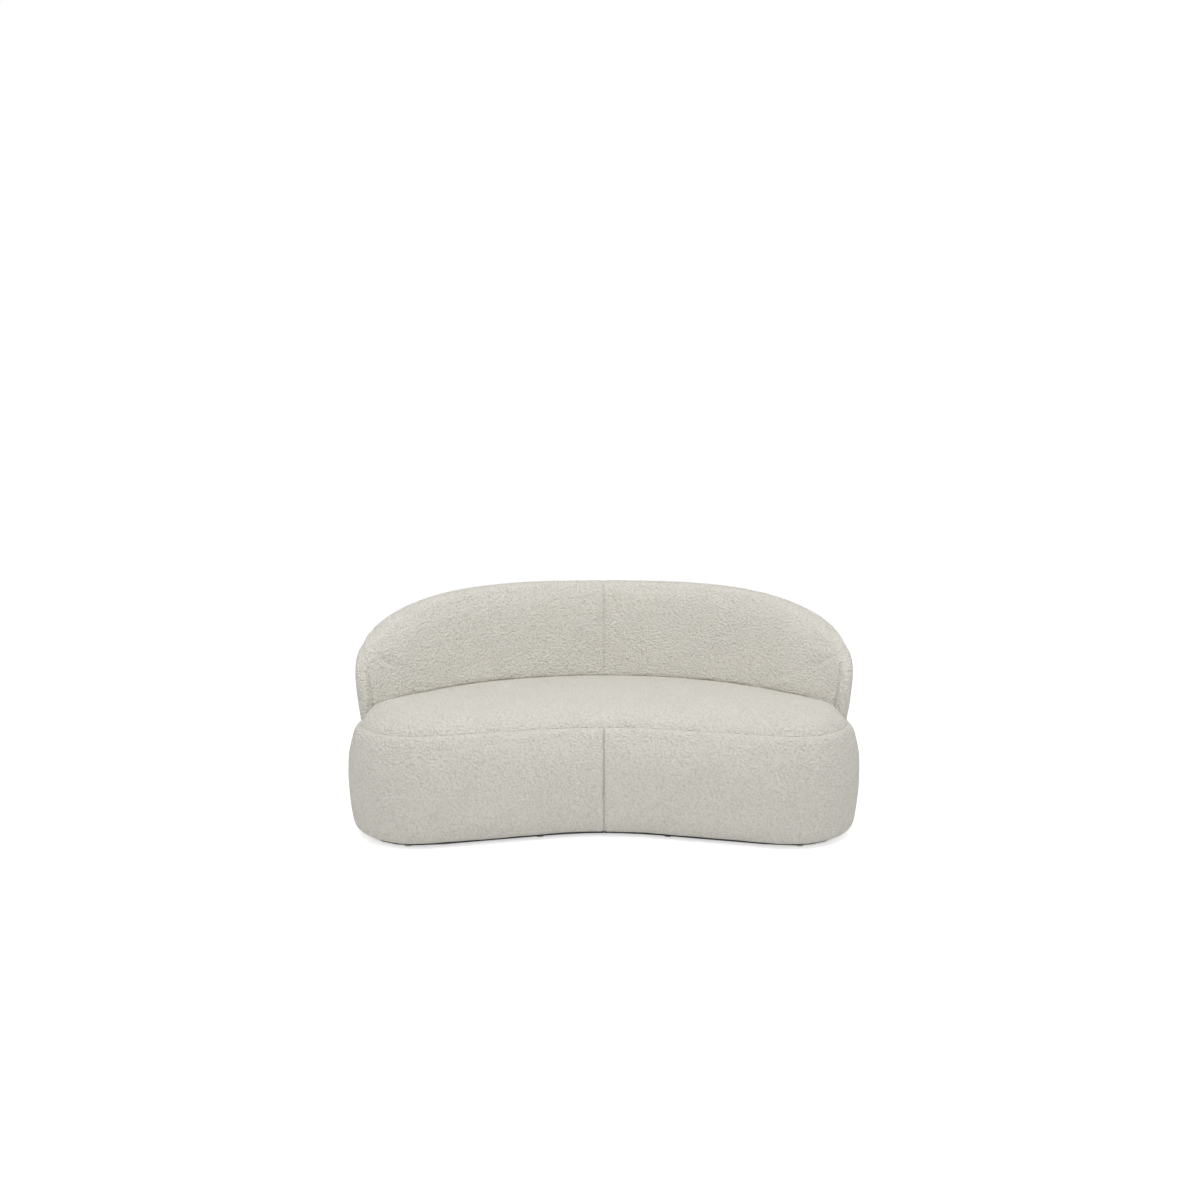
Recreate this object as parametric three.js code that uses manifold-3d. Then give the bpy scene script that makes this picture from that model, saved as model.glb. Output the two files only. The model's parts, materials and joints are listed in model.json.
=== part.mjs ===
// A curved two-seat sofa. A kidney-shaped seat block stands on a low set-back plinth, and a back that
// follows its rear edge wraps round the seat and sweeps down to a rounded wing at each end.
// Millimetres, +Z up, the front faces -Y. The origin is the middle of the base of the whole sofa.
// An inset is a distance inward from the widest outline of the seat block. A run is a distance along a
// curve: from the middle of the front round the seat outline, or from the middle of the back along it.

import * as THREE from 'three';
import { mergeVertices } from 'three/addons/utils/BufferGeometryUtils.js';
import Module from 'manifold-3d';

const wasm = await Module();
wasm.setup();

// Outline of the seat block, seen from above
const sofaWidth = 1750;
const seatDepth = 915;
const hollowDepthShare = 0.0674;
const hollowRadiusShare = 0.4206;
const shoulderRadius = 466;
const lobeRadius = 248;
const rearTurn = THREE.MathUtils.degToRad(45);
const frontHollow = hollowDepthShare * sofaWidth;
const hollowRadius = hollowRadiusShare * sofaWidth;

// Side of the seat block, from the floor up
const glideHeight = 5;
const plinthHeight = 6.4;
const skirtRadius = 53;
const sideTuck = 11;
const rollInset = 68.4;

// Seam between the seat's border and its top, and the crown of the top
const seamInset = 46.6;
const seamHeight = 382;
const beltShare = 0.563;
const rollShare = 0.4974;
const beltHeight = beltShare * seamHeight;
const rollHeight = rollShare * seamHeight;
const seamHalfWidth = 9;
const seamDip = 5;
const crownStep = 6;
const crownRise = 44;
const spineRise = 6;
const crownPower = 2.2;

// Back, measured from its spine line, which runs round the seat at one inset
const sofaHeight = 791;
const backTuck = 10;
const backFoot = seamHeight - backTuck;
const backRoot = 92;
const backHem = 16;
const backSetIn = 17;
const backRear = 40;
const backFront = 117;
const wingTurn = THREE.MathUtils.degToRad(85.1);
const wingTaper = 258;
const wingEdge = 50;
const wingTaperPower = 1.15;
const wingEdgePower = 2.2;
const crestFlat = 171;
const crestPower = 2.82;
const backRake = 38;
const backBulge = 15;
const backThinShare = 0.18;
const sectionPower = 4.2;
const backSeamDip = 4;

// Panels and foam
const clothThickness = 3;
const fitGap = 0.3;
const centreSeamDip = 4;
const centreSeamInner = 6;
const centreSeamOuter = 16;
const centreSeamGap = 0.8;
const hemWidth = 36;
const crownPad = 55;

// Timber of the seat
const boardThickness = 18;
const frameInset = 66;
const cushionDrop = 62;
const deckHeight = seamHeight - cushionDrop;
const deckWidth = 104;
const baseWidth = 126;
const facingThickness = 6;
const ribWidth = 86;
const ribSetBack = 6;
const centreRailHeight = 100;
const centreRailThickness = 24;

// Plinth, glides and dust cover
const plinthInset = 60;
const plinthWidth = 32;
const glideRadius = 13;
const dustThickness = 0.8;

// Elastic straps under the seat cushion
const strapWidth = 50;
const strapThickness = 2;
const strapPitch = 180;
const strapCount = 3;
const strapInset = 112;

// Timber of the back
const postThickness = 24;
const postDepth = 60;
const postRear = 16;
const legDepth = 30;
const legGap = 0.5;
const railWidth = 30;
const railThickness = 18;
const railEndPad = 150;
const railEndGap = 20;
const cavityEndPad = 130;
const postTopGap = 8;

// Bolts that hold the back's posts to the seat's deck
const boltRadius = 4;
const boltHeadRadius = 8;
const boltHeadHeight = 5;
const boltGrip = 35;

// Shares of the lengths they follow
const ribPlaceShares = [0.15, 0.38, 0.72];
const glidePlaceShares = [0.09, 0.3, 0.62, 0.88];
const postPlaceShares = [0, 0.4, 0.73];
const midRailShare = 0.48;
const skirtAngleShares = [0.33, 0.67];
const tuckHeightShare = 0.35;
const rollAngleShares = [0.3, 0.52];
const crownShares = [0.25, 0.6, 1];
const crownReachShare = 0.8;
const crownInset = crownReachShare * lobeRadius;
const sectionAngleShares = [0, 0.05, 0.2, 0.4, 0.6, 0.8];
const backSeamShare = 0.65;
const backSeamGapShare = 0.006;
const wingSeamShare = 0.33;
const wingSeamStartShare = 0.76;
const wingRunShares = [0.84, 0.894, 0.936, 0.965, 0.984, 0.9945, 0.9994];
const foamTipShare = 0.985;

// Number of flat steps on each piece of the seat outline, from the front middle to the rear middle
const outlineSteps = { hollow: 3, flank: 1, shoulder: 1, lobe: 5, haunch: 3, rear: 5 };
const backSteps = { middle: 3, shoulder: 2 };
const roundStepCount = 12;

// Colours and surfaces
const looks = {
  boucle: { color: 0xd6d2c9, roughness: 0.95, metalness: 0 },
  foam: { color: 0xe9e2c4, roughness: 0.9, metalness: 0 },
  plywood: { color: 0xc9a878, roughness: 0.7, metalness: 0 },
  blackBoard: { color: 0x1c1b1a, roughness: 0.55, metalness: 0 },
  nylon: { color: 0x222222, roughness: 0.5, metalness: 0 },
  webbing: { color: 0x2b2b2e, roughness: 0.85, metalness: 0 },
  cambric: { color: 0x18181a, roughness: 0.95, metalness: 0 },
  zincSteel: { color: 0xb9bdc2, roughness: 0.35, metalness: 1 },
};

const sofa = new THREE.Group();

function add(name, geometry, look) {
  const mesh = new THREE.Mesh(geometry, new THREE.MeshStandardMaterial(looks[look]));
  mesh.name = name;
  sofa.add(mesh);
  return mesh;
}

// Facets gathered one by one; corners that coincide become one corner
class Facets {
  constructor() {
    this.coordinates = [];
  }

  triangle(a, b, c) {
    const same = (p, q) => p.distanceToSquared(q) < Number.EPSILON;
    if (same(a, b) || same(b, c) || same(c, a)) return;
    for (const corner of [a, b, c]) this.coordinates.push(corner.x, corner.y, corner.z);
  }

  quad(a, b, c, d) {
    this.triangle(a, b, c);
    this.triangle(a, c, d);
  }

  // Splits four corners from the first to the third when straight, else from the second to the fourth
  patch(a, b, c, d, straight) {
    if (straight) this.quad(a, b, c, d);
    else this.quad(b, c, d, a);
  }

  // The closed surface, turned so that its faces point out
  geometry() {
    const corners = this.coordinates;
    let volume = 0;
    const a = new THREE.Vector3();
    const b = new THREE.Vector3();
    const c = new THREE.Vector3();
    for (let i = 0; i < corners.length; i += 9) {
      a.fromArray(corners, i);
      b.fromArray(corners, i + 3);
      c.fromArray(corners, i + 6);
      volume += a.dot(b.cross(c));
    }
    if (volume < 0) {
      for (let i = 0; i < corners.length; i += 9) {
        const second = corners.slice(i + 3, i + 6);
        for (let k = 0; k < 3; k += 1) {
          corners[i + 3 + k] = corners[i + 6 + k];
          corners[i + 6 + k] = second[k];
        }
      }
    }
    const built = new THREE.BufferGeometry();
    built.setAttribute('position', new THREE.Float32BufferAttribute(corners, 3));
    return mergeVertices(built);
  }
}

// A solid through closed sections; in an end, point k lies across from the kth last point. All surfaces
// split from a low row at a low run to a high row at a high run, so neighbours stay parallel
function sweep(sections, { runs = [], rows = [], closed = false } = {}) {
  const facets = new Facets();
  const count = sections[0].length;
  const links = closed ? sections.length : sections.length - 1;
  for (let i = 0; i < links; i += 1) {
    const here = sections[i];
    const next = sections[(i + 1) % sections.length];
    const rising = runs[(i + 1) % sections.length] > runs[i];
    for (let k = 0; k < count; k += 1) {
      const after = (k + 1) % count;
      const upward = rows[after] > rows[k];
      facets.patch(here[k], next[k], next[after], here[after], rising === upward);
    }
  }
  if (!closed) {
    const first = sections[0];
    const last = sections[sections.length - 1];
    for (let k = 0; k + 1 <= count - 2 - k; k += 1) {
      const across = count - 1 - k;
      facets.quad(first[k], first[k + 1], first[across - 1], first[across]);
      facets.quad(last[across], last[across - 1], last[k + 1], last[k]);
    }
  }
  return facets.geometry();
}

// Row numbers of a plain section, and of a sheet that runs along its rows and back inside them
function plainRows(count) {
  return [...Array(count).keys()];
}

function sheetRows(count) {
  return [...plainRows(count), ...plainRows(count).reverse()];
}

function toManifold(geometry) {
  const bare = geometry.clone();
  bare.deleteAttribute('normal');
  bare.deleteAttribute('uv');
  const merged = mergeVertices(bare);
  return new wasm.Manifold(new wasm.Mesh({
    numProp: 3,
    vertProperties: new Float32Array(merged.attributes.position.array),
    triVerts: new Uint32Array(merged.index.array),
  }));
}

function toGeometry(manifold) {
  const mesh = manifold.getMesh();
  const built = new THREE.BufferGeometry();
  built.setAttribute('position', new THREE.BufferAttribute(mesh.vertProperties, 3));
  built.setIndex(new THREE.BufferAttribute(mesh.triVerts, 1));
  return built;
}

// The solid less each of the others
function cut(geometry, others) {
  let solid = toManifold(geometry);
  for (const other of others) solid = solid.subtract(toManifold(other));
  return toGeometry(solid);
}

function common(geometry, other) {
  return toGeometry(toManifold(geometry).intersect(toManifold(other)));
}

// Seat outline: tangent arcs and one straight flank on each side, so an inset only changes the radii
function solveOutline() {
  const reach = sofaWidth / 2 - lobeRadius;
  const bends = hollowRadius + shoulderRadius;
  const lean = bends - frontHollow;
  const flankAngle = Math.atan2(reach, lean) - Math.acos(bends / Math.hypot(reach, lean));
  const flank = (reach - bends * Math.sin(flankAngle)) / Math.cos(flankAngle);
  const s = Math.sin(rearTurn);
  const c = Math.cos(rearTurn);
  const back = seatDepth - lobeRadius;
  const haunchRadius = ((sofaWidth / 2) * (1 - c) - back * s) / ((1 - s) * (1 - c) - s * c);
  const rearRadius = (sofaWidth / 2 - haunchRadius * (1 - s)) / s;
  return { reach, flankAngle, flank, haunchRadius, rearRadius };
}

const outline = solveOutline();
const outlineRuns = {
  hollow: hollowRadius * outline.flankAngle,
  flank: outline.flank,
  shoulder: shoulderRadius * outline.flankAngle,
  lobe: lobeRadius * Math.PI / 2,
  haunch: outline.haunchRadius * (Math.PI / 2 - rearTurn),
  rear: outline.rearRadius * rearTurn,
};
const outlineLength = Object.values(outlineRuns).reduce((sum, run) => sum + run, 0);

// Point and outward direction of the outline at a run from the front middle; side is 1 or -1
function rim(run, side, inset) {
  let left = run;
  let piece = 'rear';
  for (const [name, length] of Object.entries(outlineRuns)) {
    if (left <= length) {
      piece = name;
      break;
    }
    left -= name === 'rear' ? 0 : length;
  }
  const bend = outline.flankAngle;
  let x;
  let y;
  let angle;
  if (piece === 'hollow') {
    angle = -left / hollowRadius;
    x = -(hollowRadius + inset) * Math.sin(angle);
    y = frontHollow - hollowRadius + (hollowRadius + inset) * Math.cos(angle);
  } else if (piece === 'flank') {
    angle = -bend;
    x = hollowRadius * Math.sin(bend) + left * Math.cos(bend) + inset * Math.sin(bend);
    y = frontHollow - hollowRadius * (1 - Math.cos(bend)) - left * Math.sin(bend) + inset * Math.cos(bend);
  } else {
    const arcs = {
      shoulder: [outline.reach, shoulderRadius, shoulderRadius, -bend],
      lobe: [outline.reach, lobeRadius, lobeRadius, 0],
      haunch: [sofaWidth / 2 - outline.haunchRadius, lobeRadius, outline.haunchRadius, Math.PI / 2],
      rear: [0, seatDepth - outline.rearRadius, outline.rearRadius, Math.PI - rearTurn],
    };
    const [centreX, centreY, radius, start] = arcs[piece];
    angle = start + left / radius;
    x = centreX + (radius - inset) * Math.sin(angle);
    y = centreY - (radius - inset) * Math.cos(angle);
  }
  return { x: side * x, y, angle: side * angle };
}

// A point at an inset and a height, drawn in by its pull beside the seam in the middle of the front
function pulledPoint(station, [inset, height, pull = 0]) {
  return seatPoint(station, inset + pull * seamPull(station.run), height);
}

function seatPoint(station, inset, height) {
  const place = rim(station.run, station.side, inset);
  return new THREE.Vector3(place.x, place.y, height);
}

// Runs of the flat steps of one half of the outline; close steps lie beside the middle of the front
function halfRuns() {
  const runs = [0, centreSeamInner, centreSeamOuter];
  let start = 0;
  for (const [name, length] of Object.entries(outlineRuns)) {
    for (let k = 1; k <= outlineSteps[name]; k += 1) runs.push(start + length * k / outlineSteps[name]);
    start += length;
  }
  return runs;
}

const seatRuns = halfRuns();
const tipIndex = (seatRuns.length - 1) / 2;
const tipRun = seatRuns[tipIndex];
const seatStations = [
  ...seatRuns.map((run) => ({ run, side: 1 })),
  ...seatRuns.slice(1, -1).reverse().map((run) => ({ run, side: -1 })),
];

// How far the cloth is drawn in beside the upright seam in the middle of the front or of the back
function seamPull(run) {
  if (run < centreSeamInner) {
    const share = run / centreSeamInner;
    return centreSeamDip * (1 - share / 2);
  }
  if (run < centreSeamOuter) {
    return centreSeamDip / 2 * (centreSeamOuter - run) / (centreSeamOuter - centreSeamInner);
  }
  return 0;
}

// Profile of the seat block as [inset, height, pull] points; the pull is 1 where the middle seam draws in
const clothBottom = glideHeight + plinthHeight + 2 * fitGap;
const skirtLine = sideTuck + skirtRadius;

function borderProfile() {
  const points = [[skirtLine + hemWidth, clothBottom], [skirtLine, clothBottom]];
  for (const share of skirtAngleShares) {
    const angle = share * Math.PI / 2;
    const rise = skirtRadius * (1 - Math.cos(angle));
    points.push([skirtLine - skirtRadius * Math.sin(angle), clothBottom + rise, 1]);
  }
  const skirtTop = clothBottom + skirtRadius;
  const away = (1 - tuckHeightShare) ** 2;
  points.push([sideTuck * away, skirtTop + tuckHeightShare * (beltHeight - skirtTop), 1]);
  points.push([0, beltHeight, 1]);
  for (const share of rollAngleShares) {
    const angle = share * Math.PI / 2;
    points.push([rollInset * (1 - Math.cos(angle)), beltHeight + rollHeight * Math.sin(angle), 1]);
  }
  points.push([seamInset - 2 * seamHalfWidth, seamHeight - 2 * seamDip, 1]);
  points.push([seamInset - seamHalfWidth, seamHeight, 1]);
  points.push([seamInset, seamHeight - seamDip]);
  return points;
}

function crownProfile() {
  const start = seamInset + seamHalfWidth;
  const points = [[seamInset, seamHeight - seamDip], [start, seamHeight + crownStep]];
  for (const share of crownShares) {
    const rise = crownRise * (1 - (1 - share) ** crownPower);
    points.push([start + share * (crownInset - start), seamHeight + crownStep + rise]);
  }
  return points;
}

const spineHeight = seamHeight + crownStep + crownRise + spineRise;
const blockProfile = [...borderProfile(), ...crownProfile().slice(1)];
const seamIndex = borderProfile().length - 1;

// The block profile moved inward by a depth, square to its line
function sunkProfile(depth) {
  const normals = blockProfile.slice(1).map(([inset, height], k) => {
    const run = inset - blockProfile[k][0];
    const rise = height - blockProfile[k][1];
    const length = Math.hypot(run, rise);
    return [rise / length, -run / length];
  });
  return blockProfile.map(([inset, height, pull], k) => {
    const before = normals[Math.max(k - 1, 0)];
    const after = normals[Math.min(k, normals.length - 1)];
    const sumInset = before[0] + after[0];
    const sumHeight = before[1] + after[1];
    const reach = 2 * depth / (sumInset ** 2 + sumHeight ** 2);
    return [inset + sumInset * reach, height + sumHeight * reach, pull];
  });
}

// A kidney-shaped body: rings along a profile, and an arched cap on its first and last ring
function kidneyBody(profile, firstSpine, lastSpine, rows = plainRows(profile.length)) {
  const facets = new Facets();
  const rings = profile.map((point) => seatStations.map((station) => pulledPoint(station, point)));
  const count = seatStations.length;
  for (let r = 0; r < rings.length - 1; r += 1) {
    const upward = rows[r + 1] > rows[r];
    for (let k = 0; k < count; k += 1) {
      const after = (k + 1) % count;
      const rising = seatStations[after].run > seatStations[k].run;
      facets.patch(rings[r][k], rings[r][after], rings[r + 1][after], rings[r + 1][k], rising === upward);
    }
  }
  capKidney(facets, rings[0], firstSpine, true);
  capKidney(facets, rings[rings.length - 1], lastSpine, false);
  return facets.geometry();
}

function capKidney(facets, ring, spine, flipped) {
  const count = ring.length;
  const half = seatRuns.length - 1;
  const rearOf = (j) => ring[(j >= 0 ? half - j : half + Math.abs(j)) % count];
  const spineOf = (j) => {
    const point = ring[(j + count) % count].clone().add(rearOf(j)).multiplyScalar(0.5);
    if (Math.abs(j) < tipIndex) point.z = spine;
    return point;
  };
  const put = (a, b, c, d) => (flipped ? facets.quad(d, c, b, a) : facets.quad(a, b, c, d));
  for (let k = -tipIndex; k < tipIndex; k += 1) {
    const frontHere = ring[(k + count) % count];
    const frontNext = ring[(k + 1 + count) % count];
    put(frontHere, frontNext, spineOf(k + 1), spineOf(k));
    put(spineOf(k), spineOf(k + 1), rearOf(k + 1), rearOf(k));
  }
}

// Stations from one run to another on one side, or across the front or rear middle when both sides are in
function stationsBetween(startRun, startSide, endRun, endSide) {
  if (startSide === endSide) {
    const low = Math.min(startRun, endRun);
    const high = Math.max(startRun, endRun);
    const runs = [low, ...seatRuns.filter((run) => run > low + fitGap && run < high - fitGap), high];
    return runs.map((run) => ({ run, side: startSide }));
  }
  const through = startRun <= tipRun && endRun <= tipRun ? 0 : outlineLength;
  const first = stationsBetween(startRun, startSide, through, startSide);
  const second = stationsBetween(through, endSide, endRun, endSide);
  if (through > 0) second.reverse();
  else first.reverse();
  return [...first, ...second.slice(1)];
}

// A board that follows the outline between two insets and two heights
function curvedBoard(stations, insets, heights) {
  return sweep(stations.map((station) => [
    seatPoint(station, insets[0], heights[0]),
    seatPoint(station, insets[1], heights[0]),
    seatPoint(station, insets[1], heights[1]),
    seatPoint(station, insets[0], heights[1]),
  ]));
}

// Plinth, glides and the cloth that closes the underside
function buildPlinth() {
  const heights = [glideHeight + fitGap, glideHeight + fitGap + plinthHeight];
  const insets = [plinthInset, plinthInset + plinthWidth];
  for (const [word, side] of [['right', 1], ['left', -1]]) {
    const front = stationsBetween(fitGap, side, tipRun - fitGap, side);
    const rear = stationsBetween(tipRun + fitGap, side, outlineLength - fitGap, side);
    add(`plinth_front_${word}`, curvedBoard(front, insets, heights), 'blackBoard');
    add(`plinth_rear_${word}`, curvedBoard(rear, insets, heights), 'blackBoard');
    glidePlaceShares.forEach((share, k) => {
      const glide = new THREE.CylinderGeometry(glideRadius, glideRadius, glideHeight, roundStepCount);
      glide.rotateX(Math.PI / 2);
      const place = rim(share * outlineLength, side, plinthInset + plinthWidth / 2);
      glide.translate(place.x, place.y, glideHeight / 2);
      add(`glide_${word}_${k + 1}`, glide, 'nylon');
    });
  }
  const edge = skirtLine + hemWidth + fitGap;
  const top = clothBottom + clothThickness;
  const sheet = [[edge, top - dustThickness], [edge, top]];
  add('dust_cover', kidneyBody(sheet, top - dustThickness, top), 'cambric');
}

// Timber of the seat: two base boards, a bent facing, ribs and two deck boards
const baseBottom = clothBottom + clothThickness + fitGap;
const baseTop = baseBottom + boardThickness;
const deckBottom = deckHeight - boardThickness;

function boardPair(name, insets, heights, look) {
  const front = stationsBetween(tipRun - fitGap, -1, tipRun - fitGap, 1);
  const rear = stationsBetween(tipRun + fitGap, 1, tipRun + fitGap, -1);
  return [
    add(`${name}_front`, curvedBoard(front, insets, heights), look),
    add(`${name}_rear`, curvedBoard(rear, insets, heights), look),
  ];
}

function buildSeatFrame() {
  boardPair('seat_base_board', [frameInset, frameInset + baseWidth], [baseBottom, baseTop], 'plywood');
  const between = [baseTop + fitGap, deckBottom - fitGap];
  boardPair('seat_facing', [frameInset, frameInset + facingThickness], between, 'plywood');
  const [, rearDeck] = boardPair('seat_deck_board', [frameInset, frameInset + deckWidth],
    [deckBottom, deckHeight], 'plywood');
  rearDeck.geometry = cut(rearDeck.geometry, posts.map((post) => boltHole(post)));
  const ribHeight = between[1] - between[0];
  const ribOuter = frameInset + facingThickness + ribSetBack;
  for (const [word, side] of [['right', 1], ['left', -1]]) {
    ribPlaceShares.forEach((share, k) => {
      const rib = new THREE.BoxGeometry(boardThickness, ribWidth, ribHeight);
      const place = rim(share * outlineLength, side, ribOuter + ribWidth / 2);
      rib.rotateZ(place.angle);
      rib.translate(place.x, place.y, between[0] + ribHeight / 2);
      add(`seat_rib_${word}_${k + 1}`, rib, 'plywood');
    });
  }
  buildCentreRail();
}

function buildCentreRail() {
  const inner = frameInset + facingThickness + fitGap;
  const front = rim(0, 1, inner).y;
  const rear = rim(outlineLength, 1, inner + ribSetBack).y;
  const rail = new THREE.BoxGeometry(centreRailThickness, rear - front, centreRailHeight);
  rail.translate(0, (front + rear) / 2, baseTop + fitGap + centreRailHeight / 2);
  add('seat_centre_rail', rail, 'plywood');
}

// Depth of the outline at a given x, on its front or its rear half, by halving
function depthAt(x, inset, rear) {
  let low = rear ? tipRun : 0;
  let high = rear ? outlineLength : tipRun;
  for (let k = 0; k < 40; k += 1) {
    const mid = (low + high) / 2;
    const beyond = rim(mid, 1, inset).x > Math.abs(x);
    if (beyond === rear) low = mid;
    else high = mid;
  }
  return rim(low, 1, inset).y;
}

function buildStraps() {
  for (const [word, side] of [['right', 1], ['left', -1]]) {
    for (let k = 0; k < strapCount; k += 1) {
      const x = side * strapPitch * (k + 1 / 2);
      const front = depthAt(x, strapInset, false);
      const rear = depthAt(x, strapInset, true);
      const strap = new THREE.BoxGeometry(strapWidth, rear - front, strapThickness);
      strap.translate(x, (front + rear) / 2, deckHeight + fitGap + strapThickness / 2);
      add(`seat_strap_${word}_${k + 1}`, strap, 'webbing');
    }
  }
}

// Foam of the seat: a ring round the frame, and a crowned cushion that lies on the deck and the ring
const cushionBottom = deckHeight + strapThickness + 2 * fitGap;

// The sunk profile below a height, ending on a point at that height
function profileBelow(profile, height) {
  const top = profile.findIndex((point) => point[1] > height);
  const [a, b] = [profile[top - 1], profile[top]];
  const share = (height - a[1]) / (b[1] - a[1]);
  return [...profile.slice(0, top), [a[0] + share * (b[0] - a[0]), height, a[2]]];
}

function buildSeatFoam() {
  const sunk = sunkProfile(clothThickness + fitGap);
  const ringTop = cushionBottom - fitGap;
  const inner = frameInset - fitGap;
  const outer = profileBelow(sunk, ringTop).slice(1);
  const section = [[inner, outer[0][1]], ...outer, [inner, ringTop]];
  const ring = seatStations.map((station) => section.map((point) => pulledPoint(station, point)));
  const runs = seatStations.map(({ run }) => run);
  const around = { runs, rows: plainRows(section.length), closed: true };
  add('seat_border_foam', sweep(ring, around), 'foam');
  const below = profileBelow(sunk, cushionBottom);
  const start = below[below.length - 1];
  const upper = sunk.slice(below.length - 1);
  const flat = [crownInset, cushionBottom];
  const body = kidneyBody([flat, start, ...upper], cushionBottom, spineHeight - clothThickness - fitGap);
  add('seat_cushion_foam', cut(body, posts.map((post) => legHole(post))), 'foam');
}

// Covers of the seat: one top panel, two front borders that meet in the middle, and a rear border
function buildSeatCovers() {
  const outer = sunkProfile(0);
  const inner = sunkProfile(clothThickness);
  const top = [...outer.slice(seamIndex).reverse(), ...inner.slice(seamIndex)];
  top[outer.length - 1 - seamIndex][0] += fitGap;
  top[outer.length - seamIndex][0] += fitGap;
  const rows = sheetRows(outer.length - seamIndex).map((row) => -row);
  const cover = kidneyBody(top, spineHeight, spineHeight - clothThickness, rows);
  add('seat_top_cover', cut(cover, posts.map((post) => legHole(post))), 'boucle');
  const seamRun = seatRuns[seatRuns.length - 2 - outlineSteps.rear];
  const front = [centreSeamGap / 2, seamRun - fitGap];
  for (const [word, side] of [['right', 1], ['left', -1]]) {
    const stations = stationsBetween(front[0], side, front[1], side);
    add(`seat_border_front_${word}`, borderPanel(stations, outer, inner), 'boucle');
  }
  const rear = stationsBetween(seamRun + fitGap, 1, seamRun + fitGap, -1);
  add('seat_border_rear', borderPanel(rear, outer, inner), 'boucle');
}

function borderPanel(stations, outer, inner) {
  const edge = seamIndex + 1;
  const sections = stations.map((station) => {
    const point = ([inset, height, pull], k) => {
      const shift = k === seamIndex ? -fitGap / 2 : 0;
      return pulledPoint(station, [inset + shift, height, pull]);
    };
    return [...outer.slice(0, edge).map(point), ...inner.slice(0, edge).map(point).reverse()];
  });
  return sweep(sections, { runs: stations.map(({ run }) => run), rows: sheetRows(edge) });
}

// The back: a section of two rounded faces swept along the spine line
const spineInset = backSetIn + backRear;
const spineRear = outline.rearRadius - spineInset;
const spineHaunch = outline.haunchRadius - spineInset;
const backEnd = spineRear * rearTurn + spineHaunch * (wingTurn - rearTurn);
const backRise = sofaHeight - backFoot;

function spine(run, side) {
  const bend = spineRear * rearTurn;
  const angle = run <= bend ? run / spineRear : rearTurn + (run - bend) / spineHaunch;
  const s = Math.sin(angle);
  const c = Math.cos(angle);
  const x = run <= bend ? spineRear * s : sofaWidth / 2 - outline.haunchRadius + spineHaunch * s;
  const y = run <= bend ? seatDepth - outline.rearRadius + spineRear * c : lobeRadius + spineHaunch * c;
  return { x: side * x, y, out: new THREE.Vector2(side * s, c), angle: side * angle };
}

function spinePoint(run, side, across, height) {
  const place = spine(run, side);
  return new THREE.Vector3(place.x + across * place.out.x, place.y + across * place.out.y, height);
}

function crestAt(run) {
  const share = THREE.MathUtils.clamp((run - crestFlat) / (backEnd - crestFlat), 0, 1);
  return backFoot + backRise * (1 - share ** crestPower) ** (1 / crestPower);
}

// Run at which the crest has come down to a height
function runAtCrest(height) {
  const share = 1 - ((height - backFoot) / backRise) ** crestPower;
  return crestFlat + (backEnd - crestFlat) * share ** (1 / crestPower);
}

// What is left of a size when a surface is sunk by a depth; it never turns inside out
function shrink(size, depth) {
  return size > 0 ? size * size / (size + depth) : 0;
}

function taper(run, length, power) {
  const share = THREE.MathUtils.clamp((run - (backEnd - length)) / length, 0, 1);
  return (1 - share ** power) ** (1 / power);
}

// A point of the back's surface; turn is 0 at the foot of the front face, 1 at the foot of the rear face
function backPoint(run, side, turn, depth) {
  const sunk = depth + seamPull(run);
  const angle = turn * Math.PI;
  const up = Math.max(Math.sin(angle), 0) ** (2 / sectionPower);
  const over = Math.sign(Math.cos(angle)) * Math.abs(Math.cos(angle)) ** (2 / sectionPower);
  const height = backFoot + up * shrink(crestAt(run) - backFoot, sunk);
  const lift = (height - backFoot) / backRise;
  const front = backFront * taper(run, wingTaper, wingTaperPower);
  const rear = backRear * taper(run, wingEdge, wingEdgePower);
  const half = (front + rear) / 2 * (1 - backThinShare * lift);
  const sway = Math.min(1, 2 * (front + rear) / (backFront + backRear));
  const centre = (rear - front) / 2 + sway * (backRake * lift + 4 * backBulge * lift * (1 - lift));
  const across = centre - over * shrink(half, sunk);
  return spinePoint(run * (backEnd - sunk) / backEnd, side, across, height);
}

// Turns of the section, with the seam that joins the front and outer panels at a row of its own
const frontTurns = [...sectionAngleShares, 1].map((share) => share / 2);
const rearTurns = sectionAngleShares.map((share) => 1 - share / 2).filter((turn) => turn > backSeamShare).reverse();

// Near a wing the seam crosses from behind the crest to the front of the wing's edge
function seamTurn(run) {
  const start = wingSeamStartShare * backEnd;
  const share = THREE.MathUtils.smoothstep(run, start, backEnd);
  return backSeamShare + share * (wingSeamShare - backSeamShare);
}

function turnedRow(run, turn) {
  const seam = seamTurn(run);
  if (turn <= backSeamShare) return turn * seam / backSeamShare;
  return seam + (turn - backSeamShare) * (1 - seam) / (1 - backSeamShare);
}

function backRow(run, side, turns, depth) {
  const seamDepth = backSeamDip * taper(run, wingTaper, wingTaperPower);
  return turns.map((turn) => {
    const dip = Math.abs(turn - backSeamShare) < 2 * backSeamGapShare ? seamDepth : 0;
    return backPoint(run, side, turnedRow(run, turn), depth + dip);
  });
}

// The front face runs on down into the seat; the outer face ends in a hem that hangs over the seat's side
function rooted(row, index, drop) {
  const point = row[index].clone();
  point.z = backFoot - drop;
  return point;
}

const posts = [];
for (const share of postPlaceShares) {
  for (const side of share > 0 ? [1, -1] : [1]) posts.push({ run: share * backEnd, side });
}

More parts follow.
